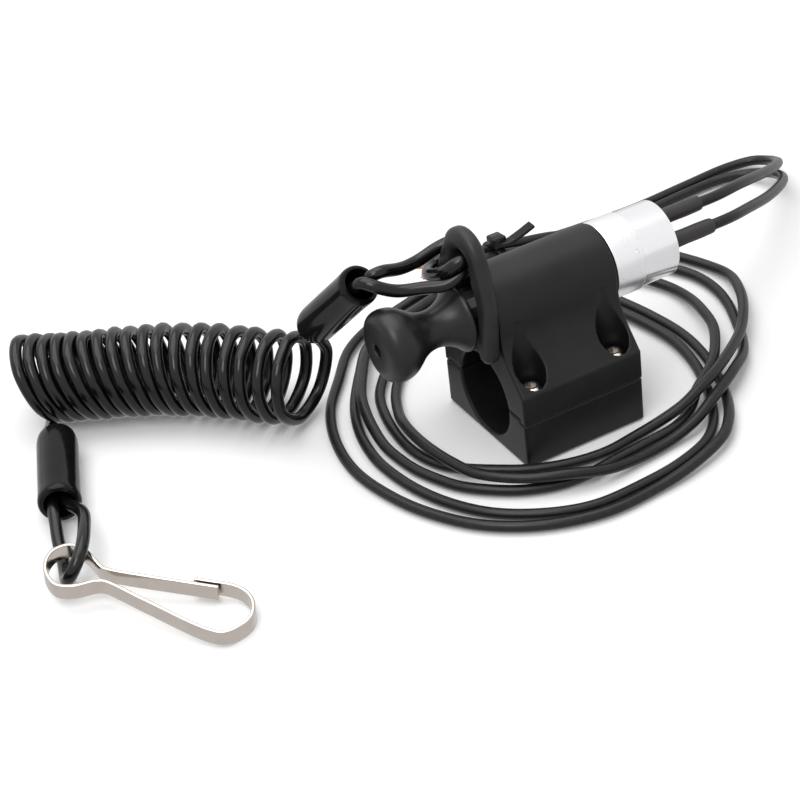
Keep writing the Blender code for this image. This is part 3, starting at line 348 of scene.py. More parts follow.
# %% Wires
WIRE_STEPS = (520, 660)
WIRE_LINES = [smooth_line(route, steps) for route, steps in zip((WIRE_1, WIRE_2), WIRE_STEPS)]
wires = []
for i, line in enumerate(WIRE_LINES, 1):
    wire = round_line(f"wire_insulation_{i}", [line], WIRE_R, wire_look)
    wires.append(stand_for(wire, f"wire_{i}"))
    print(wire.name, "is", round(length_of(line), 3), "m long")

# %% [markdown]
# ## The coiled cord
# A helix is easy to write, but this one has been handled. Its turns lie close together near the hook and
# spread apart near the clip, and their planes lean: tops towards the hook at one end, and the other way at
# the far end. So the helix is wound on a list of places where the turns' tops were seen, and each point is
# slid along the axis by the lean times the sine of its angle. The two leads join it as one open line.

# %% Coil values, in millimetres
CORD_R = 1.6
COIL_AXIS = [
    (-84.0, -113.4, 11.85), (-79.5, -106.8, 11.85), (-72.4, -96.4, 11.85), (-66.5, -86.0, 11.95),
    (-61.0, -77.4, 12.1), (-55.0, -70.2, 12.3), (-48.3, -63.7, 12.5), (-39.2, -56.3, 12.8),
    (-30.5, -50.2, 14.2), (-24.0, -45.6, 15.6),
]
AXIS_START = hypot(4.5, 6.6)      # from the axis's first point to station 0
AXIS_STEPS, COIL_STEPS, LANYARD_STEPS = 400, 700, 2200
AXIS_REACH = 8                    # steps either side that give the axis's direction
# Where each turn's top is along the axis, then (station, lean) and (station, radius).
TURN_TOPS = [3.1, 6.4, 9.7, 12.9, 16.1, 19.5, 23.1, 26.7, 30.3, 34.4, 38.0, 42.6, 47.3, 51.3, 56.3, 60.4,
             65.9, 71.3, 77.2]
LEANS = [(0, 4.3), (30, 2.8), (60, 0.4), (78, -3.2)]
RADII = [(0, 10.1), (20, 10.3), (45, 10.7), (78, 10.7)]
FULL_TURNS = 18
FIRST_ANGLE, LAST_ANGLE = -88, 90 + 360 * FULL_TURNS - 43
FIRST_SPREAD = 1.4                # how far the first half turn is drawn out along the axis
HOOK_LEAD = [(-70.4, -105.8, 1.9), (-65.6, -108.2, 3.6), (-62.6, -108.0, 5.1)]


def blend_of(pairs, at):
    """The value at a station, straight between the given ones."""
    for (a, low), (b, high) in zip(pairs, pairs[1:]):
        if at <= b:
            return low + (high - low) * max(at - a, 0) / (b - a)
    return pairs[-1][1]


# %% Winding the coil
axis_line = smooth_line(COIL_AXIS, AXIS_STEPS)
axis_step = (axis_line[1] - axis_line[0]).length


def axis_at(station):
    """The coil's axis at a station, and its direction there."""
    where = min(max((station + AXIS_START) / axis_step, 0), len(axis_line) - 1.001)
    low = int(where)
    ahead = axis_line[min(low + AXIS_REACH, len(axis_line) - 1)]
    behind = axis_line[max(low - AXIS_REACH, 0)]
    return axis_line[low].lerp(axis_line[low + 1], where - low), (ahead - behind).normalized()


def coil_point(angle):
    """A point on the helix at an angle in degrees, counted from the far side towards the top."""
    turn = (angle - 90) / 360
    low = min(max(int(turn // 1), 0), len(TURN_TOPS) - 2)
    station = TURN_TOPS[low] + (TURN_TOPS[low + 1] - TURN_TOPS[low]) * (turn - low)
    station += min(turn, 0) * FIRST_SPREAD
    height = sin(radians(angle))
    centre, onward = axis_at(station - blend_of(LEANS, station) * height)
    across = Vector((0, 0, 1)).cross(onward).normalized()
    return centre + (across * cos(radians(angle)) + onward.cross(across) * height) * blend_of(RADII, station)


wound = LAST_ANGLE - FIRST_ANGLE
turns = [coil_point(FIRST_ANGLE + wound * i / COIL_STEPS) for i in range(COIL_STEPS + 1)]
print("coil turns:", round(wound / 360, 2))

# %% [markdown]
# ## Sleeves tell the cord where to end
# A rubber sleeve hides each crimp. The single cord goes in at its tail, and a loop comes out at its mouth.
# Both sleeves are given by two points, tail and mouth, and everything else is measured along that line.

# %% The lanyard's line and its loops
CLIP_SLEEVE = (Vector((-32.0, -47.0, 27.0)), Vector((-11.5, -41.5, 48.5)))
HOOK_SLEEVE = (Vector((-60.0, -108.0, 5.75)), Vector((-32.6, -119.3, 5.75)))
TAIL_WALL, CRIMP_L, GAP = 4.0, 9.0, 0.3
LOOP_EASING = 12                  # rounds of averaging that ease the loop's bends
LOOP_STEPS = {"clip": 260, "hook": 160}
COIL_THINNING = 6                 # every sixth point of the turns guides the lanyard's line
CLIP_LOOP = [
    (-9.9, -39.2, 50.6), (-9.8, -36.6, 50.9), (-10.6, -31.0, 49.0), (-11.7, -25.0, 48.6),
    (-12.1, -19.4, 49.8), (-9.8, -15.3, 51.5), (-4.5, -14.9, 53.0), (0.0, -15.7, 53.7),
    (1.9, -18.5, 53.8), (2.3, -21.7, 53.6), (0.4, -24.2, 51.2), (-3.8, -24.6, 48.2),
    (-9.5, -24.2, 45.4), (-13.6, -21.2, 44.2), (-13.9, -17.6, 44.6), (-10.5, -15.0, 46.8),
    (-5.0, -14.9, 49.0), (-0.5, -15.7, 50.0), (1.4, -18.5, 50.0), (1.7, -21.7, 49.3),
    (1.0, -25.0, 47.7), (-1.6, -29.5, 47.6), (-4.4, -35.6, 47.6), (-5.9, -40.6, 50.2),
    (-9.0, -42.6, 50.7),
]
HOOK_LOOP = [
    (-28.4, -116.9, 6.4), (-22.6, -117.0, 8.2), (-15.4, -119.8, 9.6), (-9.7, -122.7, 9.9),
    (-6.2, -125.6, 8.9), (-5.2, -128.3, 6.2), (-7.2, -129.2, 3.2), (-11.8, -127.8, 1.75),
    (-17.5, -125.9, 1.75), (-23.0, -124.5, 2.8), (-28.8, -122.4, 4.8),
]


def along_sleeve(ends, distance, side=0.0):
    """A point on a sleeve's axis at a distance from its tail, moved sideways in the level plane."""
    onward = (ends[1] - ends[0]).normalized()
    return ends[0] + onward * distance + onward.cross(Vector((0, 0, 1))).normalized() * side


def loop_line(ends, middle, count):
    """A loop: out of the sleeve beside its axis, round, and back in on the other side."""
    length = (ends[1] - ends[0]).length
    first = TAIL_WALL + CRIMP_L + 2 * GAP
    stations = (first, (first + length) / 2, length)
    side = CORD_R + GAP / 2
    out = [along_sleeve(ends, s, -side) for s in stations]
    back = [along_sleeve(ends, s, side) for s in reversed(stations)]
    line = smooth_line(out + [Vector(p) for p in middle] + back, count)
    for _ in range(LOOP_EASING):
        line[1:-1] = [(a + 2 * b + c) / 4 for a, b, c in zip(line, line[1:], line[2:])]
    return line


clip_end = [along_sleeve(CLIP_SLEEVE, s) for s in (0, TAIL_WALL)]
hook_end = [along_sleeve(HOOK_SLEEVE, s) for s in (TAIL_WALL, 0)] + [Vector(p) for p in reversed(HOOK_LEAD)]
lanyard_line = smooth_line(hook_end + turns[::COIL_THINNING] + clip_end, LANYARD_STEPS)
lanyard_line.reverse()
cord = round_line("coiled_cord", [lanyard_line], CORD_R, cord_look, ring=4)
stand_for(cord, "lanyard_coil", "clip_lead", "hook_lead")
clip_eye_line = loop_line(CLIP_SLEEVE, CLIP_LOOP, LOOP_STEPS["clip"])
hook_eye_line = loop_line(HOOK_SLEEVE, HOOK_LOOP, LOOP_STEPS["hook"])
clip_eye = stand_for(round_line("clip_eye_loop", [clip_eye_line], CORD_R, cord_look), "clip_loop")
hook_eye = stand_for(round_line("hook_eye_loop", [hook_eye_line], CORD_R, cord_look), "hook_loop")
print("lanyard", round(length_of(lanyard_line), 3), "m, loops", round(length_of(clip_eye_line), 3),
      round(length_of(hook_eye_line), 3))

# %% [markdown]
# ## Black on black, told apart by gloss
# Almost everything here is black, and the eye tells the materials apart by their highlights alone. The
# casting has a satin powder coat with a fine tooth. The knob and the plugs are rubber with a soft bloom.
# The fork is a harder, duller plastic, a touch warmer than the rest. The sleeves are glossy and drawn
# tight, and the heat-shrink tubes are the greyest of all.

# %% Black finishes
cast_look = Look("satin powder coat", (0.007, 0.007, 0.0076), 0.44, specular_ior_level=0.27)
tooth = cast_look.grain(2600, 3.0)
cloud = cast_look.grain(110, 3.0)
cast_look.colours(cloud.between(0.3, 0.75), (0.006, 0.006, 0.0066), (0.0095, 0.0095, 0.0102))
cast_look.rough(tooth * 0.10 + cloud * 0.08 + 0.35)
cast_look.relief(tooth + cloud * 0.4, 0.022)

rubber_look = Look("satin rubber", (0.008, 0.0075, 0.0078), 0.4, specular_ior_level=0.4)
pores = rubber_look.grain(3200, 2.0)
bloom = rubber_look.grain(140, 4.0)
rubber_look.colours(bloom.between(0.35, 0.8), (0.0045, 0.0042, 0.0044), (0.009, 0.0085, 0.0088))
rubber_look.rough(bloom * 0.12 + pores * 0.08 + 0.28)
rubber_look.relief(pores + bloom * 0.5, 0.015)

fork_look = Look("fork plastic", (0.019, 0.017, 0.0175), 0.45, specular_ior_level=0.3)
flow = fork_look.grain(260, 3.0)
fine = fork_look.grain(3000, 2.0)
fork_look.colours(flow, (0.014, 0.0126, 0.013), (0.024, 0.0218, 0.0224))
fork_look.rough(flow * 0.14 + 0.34)
fork_look.relief(fine * 0.5 + flow, 0.03)

sleeve_look = Look("glossy sleeve", (0.006, 0.0055, 0.0055), 0.12, specular_ior_level=0.1,
                  coat_weight=0.14, coat_roughness=0.04)
drawn = sleeve_look.grain(130, 2.0)
sleeve_look.colours(drawn, (0.004, 0.0038, 0.0038), (0.009, 0.0082, 0.008))
sleeve_look.rough(drawn * 0.12 + 0.07)
sleeve_look.relief(drawn, 0.08)

shrink_look = Look("heat-shrink tube", (0.035, 0.032, 0.034), 0.48, specular_ior_level=0.3)
pull = shrink_look.grain(700, 3.0, (1, 0.15, 1))
shrink_look.colours(pull, (0.026, 0.0235, 0.025), (0.045, 0.0405, 0.043))
shrink_look.rough(pull * 0.15 + 0.36)
shrink_look.relief(pull, 0.05)

plastic_look = Look("moulded plastic", (0.009, 0.009, 0.0095), 0.34, specular_ior_level=0.25)
skin = plastic_look.grain(1500, 3.0)
plastic_look.colours(skin, (0.007, 0.007, 0.0075), (0.012, 0.012, 0.0125))
plastic_look.rough(skin * 0.15 + 0.26)
plastic_look.relief(skin, 0.012)
blacks = (cast_look, rubber_look, fork_look, sleeve_look, shrink_look, plastic_look)
print("black finishes:", ", ".join(look.material.name for look in blacks))

# %% [markdown]
# ## Metals
# Turned metal is never smooth: the tool leaves rings, and a noise that varies only along the barrel's axis
# draws them. The barrel is bright alloy in two cuts, the front band a little duller and finely pitted. The
# hook is a nickel-plated strip, warm and almost mirror-like. Every other metal has one noise that shifts
# its colour and its gloss together, as tarnish and handling do.

# %% Metal finishes
alloy_look = Look("turned alloy", (0.80, 0.795, 0.80), 0.22, metallic=1.0)
along_bar = alloy_look.axis("Y")
front_band = 1 - along_bar.between(25.5, 25.7)
rings = alloy_look.node("TexNoise", {"noise_dimensions": "1D"},
                        {"W": along_bar, "Scale": 7.0, "Detail": 3.0})
pits = alloy_look.grain(1900, 2.0).between(0.62, 0.72)
smears = alloy_look.grain(220, 3.0)
alloy_look.colours(pits * front_band * 0.5 + smears * 0.2, (0.90, 0.892, 0.912), (0.60, 0.60, 0.615))
alloy_look.rough(rings * 0.10 + front_band * 0.10 + smears * 0.08 + 0.12)
alloy_look.relief(rings + pits * front_band * 0.6, 0.006)

nickel_look = Look("nickel plate", (0.58, 0.525, 0.48), 0.2, metallic=1.0)
bright = nickel_look.grain(500, 3.0)
rolled = nickel_look.grain(240, 2.0)
nickel_look.colours(rolled, (0.67, 0.61, 0.56), (0.57, 0.51, 0.465))
nickel_look.rough(bright * 0.14 + 0.10)
nickel_look.relief(bright * 0.4 + rolled, 0.008)

steel_look = Look("stainless steel", (0.60, 0.59, 0.575), 0.26, metallic=1.0)
turned = steel_look.grain(1800, 3.0)
steel_look.colours(turned, (0.60, 0.59, 0.57), (0.42, 0.405, 0.39))
steel_look.rough(turned * 0.2 + 0.16)

screw_look = Look("plated screw", (0.72, 0.70, 0.67), 0.2, metallic=1.0)
worn = screw_look.grain(500, 2.0)
screw_look.colours(worn, (0.76, 0.74, 0.70), (0.58, 0.52, 0.46))
screw_look.rough(worn * 0.15 + 0.12)

# A plain dark steel for the plunger's rod, its tone and gloss shifted by one noise.
dark_steel_look = Look("dark steel", (0.05, 0.05, 0.052), 0.35, metallic=1.0)
rod_tone = dark_steel_look.grain(900, 3.0)
dark_steel_look.colours(rod_tone, (0.035, 0.035, 0.037), (0.08, 0.08, 0.082))
dark_steel_look.rough(rod_tone * 0.2 + 0.28)

brass_look = Look("brass", (0.72, 0.52, 0.24), 0.3, metallic=1.0)
tarnish = brass_look.grain(400, 4.0)
brass_look.colours(tarnish, (0.76, 0.57, 0.27), (0.55, 0.38, 0.18))
brass_look.rough(tarnish * 0.2 + 0.2)

copper_look = Look("bare copper", (0.82, 0.38, 0.24), 0.3, metallic=1.0)
dulled = copper_look.grain(900, 3.0)
copper_look.colours(dulled, (0.88, 0.46, 0.30), (0.66, 0.27, 0.15))
copper_look.rough(dulled * 0.2 + 0.2)
metals = (alloy_look, nickel_look, steel_look, screw_look, dark_steel_look, brass_look, copper_look)
print("metal finishes:", ", ".join(look.material.name for look in metals))

# %% [markdown]
# ## Every carried-over part gets its finish
# The inner parts keep their CAD meshes, because their shapes are right and they hardly show. The record
# names a finish for each of them, so one short table dresses them all. The plunger's rod is the one
# exception: the photograph shows nothing bright at the knob's neck, so it wears a plain dark steel.

# %% Finishes by slot
SLOT_LOOKS = {
    "black_cast": cast_look, "bright_alloy": alloy_look, "stainless": steel_look,
    "black_plastic": plastic_look, "black_rubber": rubber_look, "brass": brass_look,
    "wire_plastic": wire_look, "copper": copper_look, "clip_plastic": fork_look,
    "cord_plastic": cord_look, "nickel": nickel_look,
}
for node, piece in frame["nodes"].items():
    piece.data.materials.clear()
    look = dark_steel_look if node == "plunger_rod" else SLOT_LOOKS[SLOT[node]]
    piece.data.materials.append(look.material)
print("dressed", len(frame["nodes"]), "CAD nodes")

# %% [markdown]
# ## Turned pieces with softened corners
# A lathe gives a profile and spins it. Real corners are never sharp, and a sharp corner catches no light,
# so every corner of a profile is first replaced by a small curve. The same helper makes the knob, the
# barrel, the sleeves, the crimps and the screws.

# %% Lathe
TINY, MERGE = 1e-6, 1e-7                     # a radius taken as nothing, and points taken as one
STRAIGHT, CREASE = radians(12), radians(38)   # bends left as they are, and edges kept sharp


def soften(profile, radius, closed=False):
    """The profile with each corner replaced by a small curve."""
    made, last = [], len(profile) - 1
    for i, here in enumerate(profile):
        here = Vector(here)
        if not closed and i in (0, last):
            made.append(tuple(here))
            continue
        before, after = Vector(profile[i - 1]), Vector(profile[(i + 1) % len(profile)])
        bend = (here - before).angle(after - here, 0)
        if bend < STRAIGHT:
            made.append(tuple(here))
            continue
        cut = min(radius, (before - here).length * 0.45, (after - here).length * 0.45)
        start, end = here + (before - here).normalized() * cut, here + (after - here).normalized() * cut
        for t in (0, 0.25, 0.5, 0.75, 1):
            made.append(tuple(start.lerp(here, t).lerp(here.lerp(end, t), t)))
    return made


def finish_mesh(name, shape, look):
    """The shape as an object, smooth with its real creases kept."""
    bmesh.ops.remove_doubles(shape, verts=shape.verts, dist=MERGE)
    bmesh.ops.recalc_face_normals(shape, faces=shape.faces)
    mesh = bpy.data.meshes.new(name)
    shape.to_mesh(mesh)
    shape.free()
    mesh.shade_smooth()
    mesh.set_sharp_from_angle(angle=CREASE)
    return add(name, mesh, look)


def lathe(name, profile, place, look, steps):
    """A turned piece: (radius, distance) down its outer side, spun round the local Z of its place."""
    shape = bmesh.new()
    rings = []
    for r, z in profile:
        if r < TINY:
            rings.append([shape.verts.new(place @ Vector((0, 0, z * MM)))] * steps)
            continue
        rings.append([shape.verts.new(place @ Vector((r * MM * cos(2 * pi * k / steps),
                                                      r * MM * sin(2 * pi * k / steps), z * MM)))
                      for k in range(steps)])
    pairs = list(zip(rings, rings[1:]))
    if profile[0][0] > TINY:
        pairs.append((rings[-1], rings[0]))
    for high, low in pairs:
        for k in range(steps):
            corners = []
            for vert in (high[k], high[(k + 1) % steps], low[(k + 1) % steps], low[k]):
                if vert not in corners:
                    corners.append(vert)
            if len(corners) > 2:
                shape.faces.new(corners)
    return finish_mesh(name, shape, look)


def at(x, y, z=0.0):
    """A place in millimetres."""
    return Matrix.Translation(Vector((x, y, z)) * MM)


def towards(start, end):
    """A place at start whose local Z points to end."""
    turn = (end - start).to_track_quat("Z", "Y").to_matrix().to_4x4()
    return Matrix.Translation(start * MM) @ turn


AXIS_Z = 36.7                     # the switch's axis above the bench
ACROSS = Matrix.Rotation(radians(90), 4, "X")
ALONG_SWITCH = at(0, 0, AXIS_Z) @ ACROSS


# %% [markdown]
# ## The pull knob
# The knob is a rubber moulding: a fat head, a waist for two fingers, and a flange that stops against the
# fork. Here a smooth line runs through the outline's points, so the head reads as one continuous bulge.
# The head is fuller than the solid, by 0.4 mm at its widest and up to 0.6 mm at the rim of its flatter
# face, and the small hole in that face gets a softened rim.

# %% Knob
KNOB_BACK, KNOB_LENGTH = 21.7, 23.2
FACE_HOLE_R, FACE_HOLE_DEPTH, FACE_R = 1.6, 4.0, 3.4
ROD_HOLE_R, ROD_HOLE_DEPTH = 2.3, 16.6
KNOB_OUTLINE = [
    (5.6, 0), (7.2, 0.4), (8.3, 1.1), (8.95, 2.1), (9.25, 3.5), (9.15, 5.0), (8.65, 6.7), (7.5, 8.6),
    (6.1, 10.5), (5.2, 12.4), (4.85, 14.4), (4.95, 16.0), (5.5, 17.9), (6.4, 19.6), (7.4, 20.9),
    (8.3, 21.8), (8.6, 22.4), (8.5, KNOB_LENGTH - 0.3), (8.1, KNOB_LENGTH),
]


def smooth_outline(points, count):
    """A flat outline made smooth, as (radius, distance) points."""
    return [(p.x, p.y) for p in smooth_line([(r, along, 0) for r, along in points], count)]


knob_front = KNOB_BACK + KNOB_LENGTH
hole_floor, rod_end = knob_front - FACE_HOLE_DEPTH, KNOB_BACK + ROD_HOLE_DEPTH
profile = soften([(0, hole_floor), (FACE_HOLE_R, hole_floor), (FACE_HOLE_R, knob_front),
                  (FACE_R, knob_front)], 0.35)
profile += [(r, knob_front - back) for r, back in smooth_outline(KNOB_OUTLINE, 70)]
profile += [(ROD_HOLE_R, KNOB_BACK), (ROD_HOLE_R, rod_end), (0, rod_end)]
knob = stand_for(lathe("rubber_knob", profile, ALONG_SWITCH, rubber_look, 96), "pull_knob")
print("knob faces", len(knob.data.polygons))

# %% [markdown]
# ## The barrel
# The barrel is a turned alloy tube. Its front band is cut 0.35 mm proud of the rear, with a fine step
# between them that draws a thin line right round. The rear rim is softened, so it catches the light.

# %% Barrel
NECK_BARREL_R, BAND_R, REAR_R, REAR_BORE_R, BARREL_BORE_R = 8.4, 10.2, 9.85, 8.0, 7.3
inner_end, band_start, bore_step, band_end, barrel_end = -3.0, -17.4, -18.9, -25.6, -35.7
profile = soften([
    (NECK_BARREL_R, inner_end), (NECK_BARREL_R, band_start), (BAND_R, band_start), (BAND_R, band_end),
    (REAR_R, band_end - 0.12), (REAR_R, barrel_end), (REAR_BORE_R, barrel_end), (REAR_BORE_R, bore_step),
    (BARREL_BORE_R, bore_step), (BARREL_BORE_R, inner_end),
], 0.28, closed=True)
barrel = lathe("alloy_barrel", profile, ALONG_SWITCH, alloy_look, 128)
print("barrel faces", len(barrel.data.polygons))


# %% [markdown]
# ## Cutting with other shapes
# A pinhole, the screw pockets and the hexagon sockets are cut with Boolean modifiers. Each cutter lives
# only as long as the cut: the result is read back as a mesh, and the cutter is removed. Two more helpers
# soften what was cut: one lays an even skin over a casting, the other rounds a moulding's edges.

# %% Boolean helpers
SKIN_GRAIN = 0.33


def prism(radius, low, high, place, sides):
    """A cylinder or prism to cut with, from low to high along the local Z of its place."""
    shape = bmesh.new()
    bmesh.ops.create_cone(shape, cap_ends=True, segments=sides, radius1=radius * MM, radius2=radius * MM,
                          depth=(high - low) * MM,
                          matrix=place @ Matrix.Translation((0, 0, (low + high) / 2 * MM)))
    mesh = bpy.data.meshes.new("cutter")
    shape.to_mesh(mesh)
    shape.free()
    made = bpy.data.objects.new("cutter", mesh)
    bpy.context.scene.collection.objects.link(made)
    return made


def settle(piece, crease=CREASE):
    """The piece with its modifiers applied, smooth with its creases kept."""
    bpy.context.view_layer.update()
    graph = bpy.context.evaluated_depsgraph_get()
    mesh = bpy.data.meshes.new_from_object(piece.evaluated_get(graph))
    piece.modifiers.clear()
    piece.data = mesh
    mesh.shade_smooth()
    mesh.set_sharp_from_angle(angle=crease)
    return piece


def cut(piece, cutters):
    """The piece with each of the cutters taken out of it."""
    for cutter in cutters:
        change = piece.modifiers.new("cut", "BOOLEAN")
        change.operation = "DIFFERENCE"
        change.solver = "EXACT"
        change.object = cutter
    settle(piece)
    for cutter in cutters:
        bpy.data.objects.remove(cutter, do_unlink=True)
    return piece


def coat_over(piece):
    """The piece as a fine even skin with every edge rounded, as a thick coat of powder leaves it."""
    skin = piece.modifiers.new("skin", "REMESH")
    skin.mode = "VOXEL"
    skin.voxel_size = SKIN_GRAIN * MM
    flow_out = piece.modifiers.new("flow", "SMOOTH")
    flow_out.factor = 0.5
    flow_out.iterations = 3
    return settle(piece, radians(75))


def round_edges(piece, width):
    """The piece with its sharp edges rounded."""
    rounding = piece.modifiers.new("edges", "BEVEL")
    rounding.limit_method = "ANGLE"
    rounding.angle_limit = radians(35)
    rounding.width = width * MM
    rounding.segments = 3
    rounding.harden_normals = True
    return settle(piece, radians(60))


# %% The pinhole in the barrel
PIN_R, PIN_DEPTH, PIN_FROM_STEP, PIN_ANGLE = 0.45, 0.7, 1.7, radians(60)
pin_y = -band_end - PIN_FROM_STEP
pin_outside = Vector((BAND_R * sin(PIN_ANGLE), pin_y, AXIS_Z + BAND_R * cos(PIN_ANGLE)))
cut(barrel, [prism(PIN_R, -1, PIN_DEPTH, towards(pin_outside, Vector((0, pin_y, AXIS_Z))), 24)])
stand_for(barrel, "switch_barrel")
print("barrel with its pinhole", len(barrel.data.polygons))

# %% [markdown]
# ## The clamp halves
# Both halves are drawn in end view as the CAD draws them, with more points on the arcs and a finer slit
# where they meet. The flat outline is extruded along the handlebar with rounded rims, and the pockets and
# bores are cut. Last, the whole piece is remeshed as one even skin and eased a little, which rounds the
# new edges too, as a coat of powder does on a real casting.

# %% Flat plates with rounded rims
def plate(name, outline, thickness, edge, place, look, rim_steps=3):
    """A filled outline extruded to a thickness, its rims rounded."""
    curve = bpy.data.curves.new(name, "CURVE")
    curve.dimensions = "2D"
    curve.fill_mode = "BOTH"
    curve.extrude = (thickness / 2 - edge) * MM
    curve.bevel_depth = edge * MM
    curve.bevel_resolution = rim_steps
    curve.offset = -edge * MM
    spline = curve.splines.new("POLY")
    spline.points.add(len(outline) - 1)
    for point, (u, v) in zip(spline.points, outline):
        point.co = (u * MM, v * MM, 0, 1)
    spline.use_cyclic_u = True
    flat = bpy.data.objects.new(name, curve)
    bpy.context.scene.collection.objects.link(flat)
    bpy.context.view_layer.update()
    mesh = bpy.data.meshes.new_from_object(flat.evaluated_get(bpy.context.evaluated_depsgraph_get()))
    bpy.data.objects.remove(flat, do_unlink=True)
    shape = bmesh.new()
    shape.from_mesh(mesh)
    bmesh.ops.transform(shape, matrix=place, verts=shape.verts)
    return finish_mesh(name, shape, look)


def arc(centre, radius, start, end, count):
    """Points on an arc from one angle to the other, in degrees."""
    turns_at = [radians(start + (end - start) * i / count) for i in range(count + 1)]
    return [(centre[0] + radius * cos(t), centre[1] + radius * sin(t)) for t in turns_at]


def bezier(a, b, c, d, count):
    """Points on a cubic curve, its end left off."""
    made = []
    for i in range(count):
        t = i / count
        w = ((1 - t) ** 3, 3 * t * (1 - t) ** 2, 3 * t * t * (1 - t), t ** 3)
        made.append(tuple(sum(k * p[j] for k, p in zip(w, (a, b, c, d))) for j in range(2)))
    return made


def mirrored(half):
    """A half outline with its mirror image after it."""
    return half + [(-u, v) for u, v in reversed(half) if abs(u) > TINY]


# %% Clamp outlines
BORE_R, BORE_Z, PART_Z, HALF_W, HALF_L = 11.1, 12.4, 13.5, 18.75, 17.1
LIP_X, LIP_DROP, EDGE_R, NECK_R, SHOULDER_Z = 16.4, 0.9, 0.7, 10.5, 21.0
SKIRT, RIM_R, SLIT = 0.2, 0.15, 0.14     # how far the upper half stands out, its rim, and the gap below

low, lip, side = PART_Z + GAP / 2, PART_Z - LIP_DROP + SLIT / 2, HALF_W + SKIRT
half = arc((0, BORE_Z), BORE_R, 90, degrees(asin((low - BORE_Z) / BORE_R)), 32)
half += [(LIP_X + GAP, low), (LIP_X + GAP, lip)]
half += arc((side - RIM_R, lip + RIM_R), RIM_R, -90, 0, 3)
half += arc((side - EDGE_R, SHOULDER_Z - EDGE_R), EDGE_R, 0, 60, 6)
half += bezier((side - 0.55, SHOULDER_Z + 0.05), (side - 4.1, SHOULDER_Z + 4.2), (NECK_R, 28.5),
               (NECK_R, 34.5), 28)
half += arc((0, AXIS_Z), NECK_R, 0, 90, 36)
upper_outline = mirrored(half)

top, step = PART_Z - GAP / 2, PART_Z - LIP_DROP - SLIT / 2
half = arc((0, BORE_Z), BORE_R, -90, degrees(asin((top - BORE_Z) / BORE_R)), 36)
half += [(LIP_X, top), (LIP_X, step)]
half += arc((HALF_W - RIM_R, step - RIM_R), RIM_R, 90, 0, 3)
half += arc((HALF_W - EDGE_R, EDGE_R), EDGE_R, 0, -90, 6)
lower_outline = mirrored(half)
print("outline points", len(upper_outline), len(lower_outline))

# %% Clamp halves
SCREW_X, SCREW_Y, SEAT_Z = 14.2, 12.0, 17.0
POCKET_R, SHANK_HOLE_R, NUT_POCKET, NUT_DEPTH = 3.9, 1.8, 6.1, 3.2
BARREL_SEAT_R, BARREL_SEAT_END, BUSH_SEAT_R, RIM_EDGE, HOLE_START = 8.7, 14.1, 6.7, 0.45, 5.0
SCREWS = [(sx * SCREW_X, sy * SCREW_Y) for sx in (1, -1) for sy in (-1, 1)]

upper = plate("cast_housing", upper_outline, 2 * HALF_L, RIM_EDGE, ACROSS, cast_look)
cutters = [prism(BARREL_SEAT_R, -HALF_L - 1, BARREL_SEAT_END, ALONG_SWITCH, 96),
           prism(BUSH_SEAT_R, 0, HALF_L + 1, ALONG_SWITCH, 96)]
for x, y in SCREWS:
    cutters += [prism(POCKET_R, SEAT_Z, AXIS_Z, at(x, y), 48),
                prism(SHANK_HOLE_R, HOLE_START, SEAT_Z + 1, at(x, y), 24)]
stand_for(coat_over(cut(upper, cutters)), "upper_housing")

lower = plate("cast_foot", lower_outline, 2 * HALF_L, RIM_EDGE, ACROSS, cast_look)
cutters = []
for x, y in SCREWS:
    cutters += [prism(SHANK_HOLE_R, -1, AXIS_Z, at(x, y), 24),
                prism(NUT_POCKET / sqrt(3), -1, NUT_DEPTH, at(x, y), 6)]
stand_for(coat_over(cut(lower, cutters)), "lower_clamp")
print("clamp faces", len(upper.data.polygons), len(lower.data.polygons))

# %% [markdown]
# ## Socket-head screws
# The heads sit deep in their pockets and are the brightest points on the clamp. Each head is turned with
# a wide chamfer, its side is knurled by pushing every second ring point in, and a hexagon is cut into it.

# %% Screws
HEAD_TOP, HEAD_SEAT, HEAD_R, HEAD_FACE_R, HEAD_CHAMFER = 20.3, 17.3, 2.75, 1.8, 0.6
SHANK_R, SHANK_END, SOCKET, SOCKET_DEPTH = 1.5, 0.6, 2.5, 1.6
KNURL_POINTS, KNURL_DEPTH, KNURL_MARGIN = 72, 0.04, 0.4


def screw(name, place):
    """An M3 socket-head screw standing on its seat."""
    profile = soften([(0, HEAD_TOP), (HEAD_FACE_R, HEAD_TOP), (HEAD_R, HEAD_TOP - HEAD_CHAMFER),
                      (HEAD_R, HEAD_SEAT), (SHANK_R, HEAD_SEAT), (SHANK_R, SHANK_END), (0, SHANK_END)], 0.25)
    made = lathe(name, profile, place, screw_look, KNURL_POINTS)
    for vert in made.data.vertices:
        local = place.inverted() @ vert.co
        on_side = HEAD_SEAT + KNURL_MARGIN < local.z / MM < HEAD_TOP - KNURL_MARGIN
        if on_side and hypot(local.x, local.y) > (HEAD_R - 0.05) * MM:
            notch = round(degrees(atan2(local.y, local.x)) / (360 / KNURL_POINTS)) % 2
            vert.co = place @ local.lerp(Vector((0, 0, local.z)), KNURL_DEPTH * notch)
    return cut(made, [prism(SOCKET / sqrt(3), HEAD_TOP - SOCKET_DEPTH, HEAD_TOP + 1, place, 6)])


for i, (x, y) in enumerate(SCREWS, 1):
    stand_for(screw(f"socket_screw_{i}", at(x, y)), f"clamp_screw_{i}")
print("screws:", len(SCREWS))

# %% [markdown]
# ## The fork clip
# The horseshoe clip is a flat moulding with full, round edges. Its two legs straddle the plunger, and the
# cord is looped through the eye above. The outline is the CAD's, with finer arcs and a rounder rim.

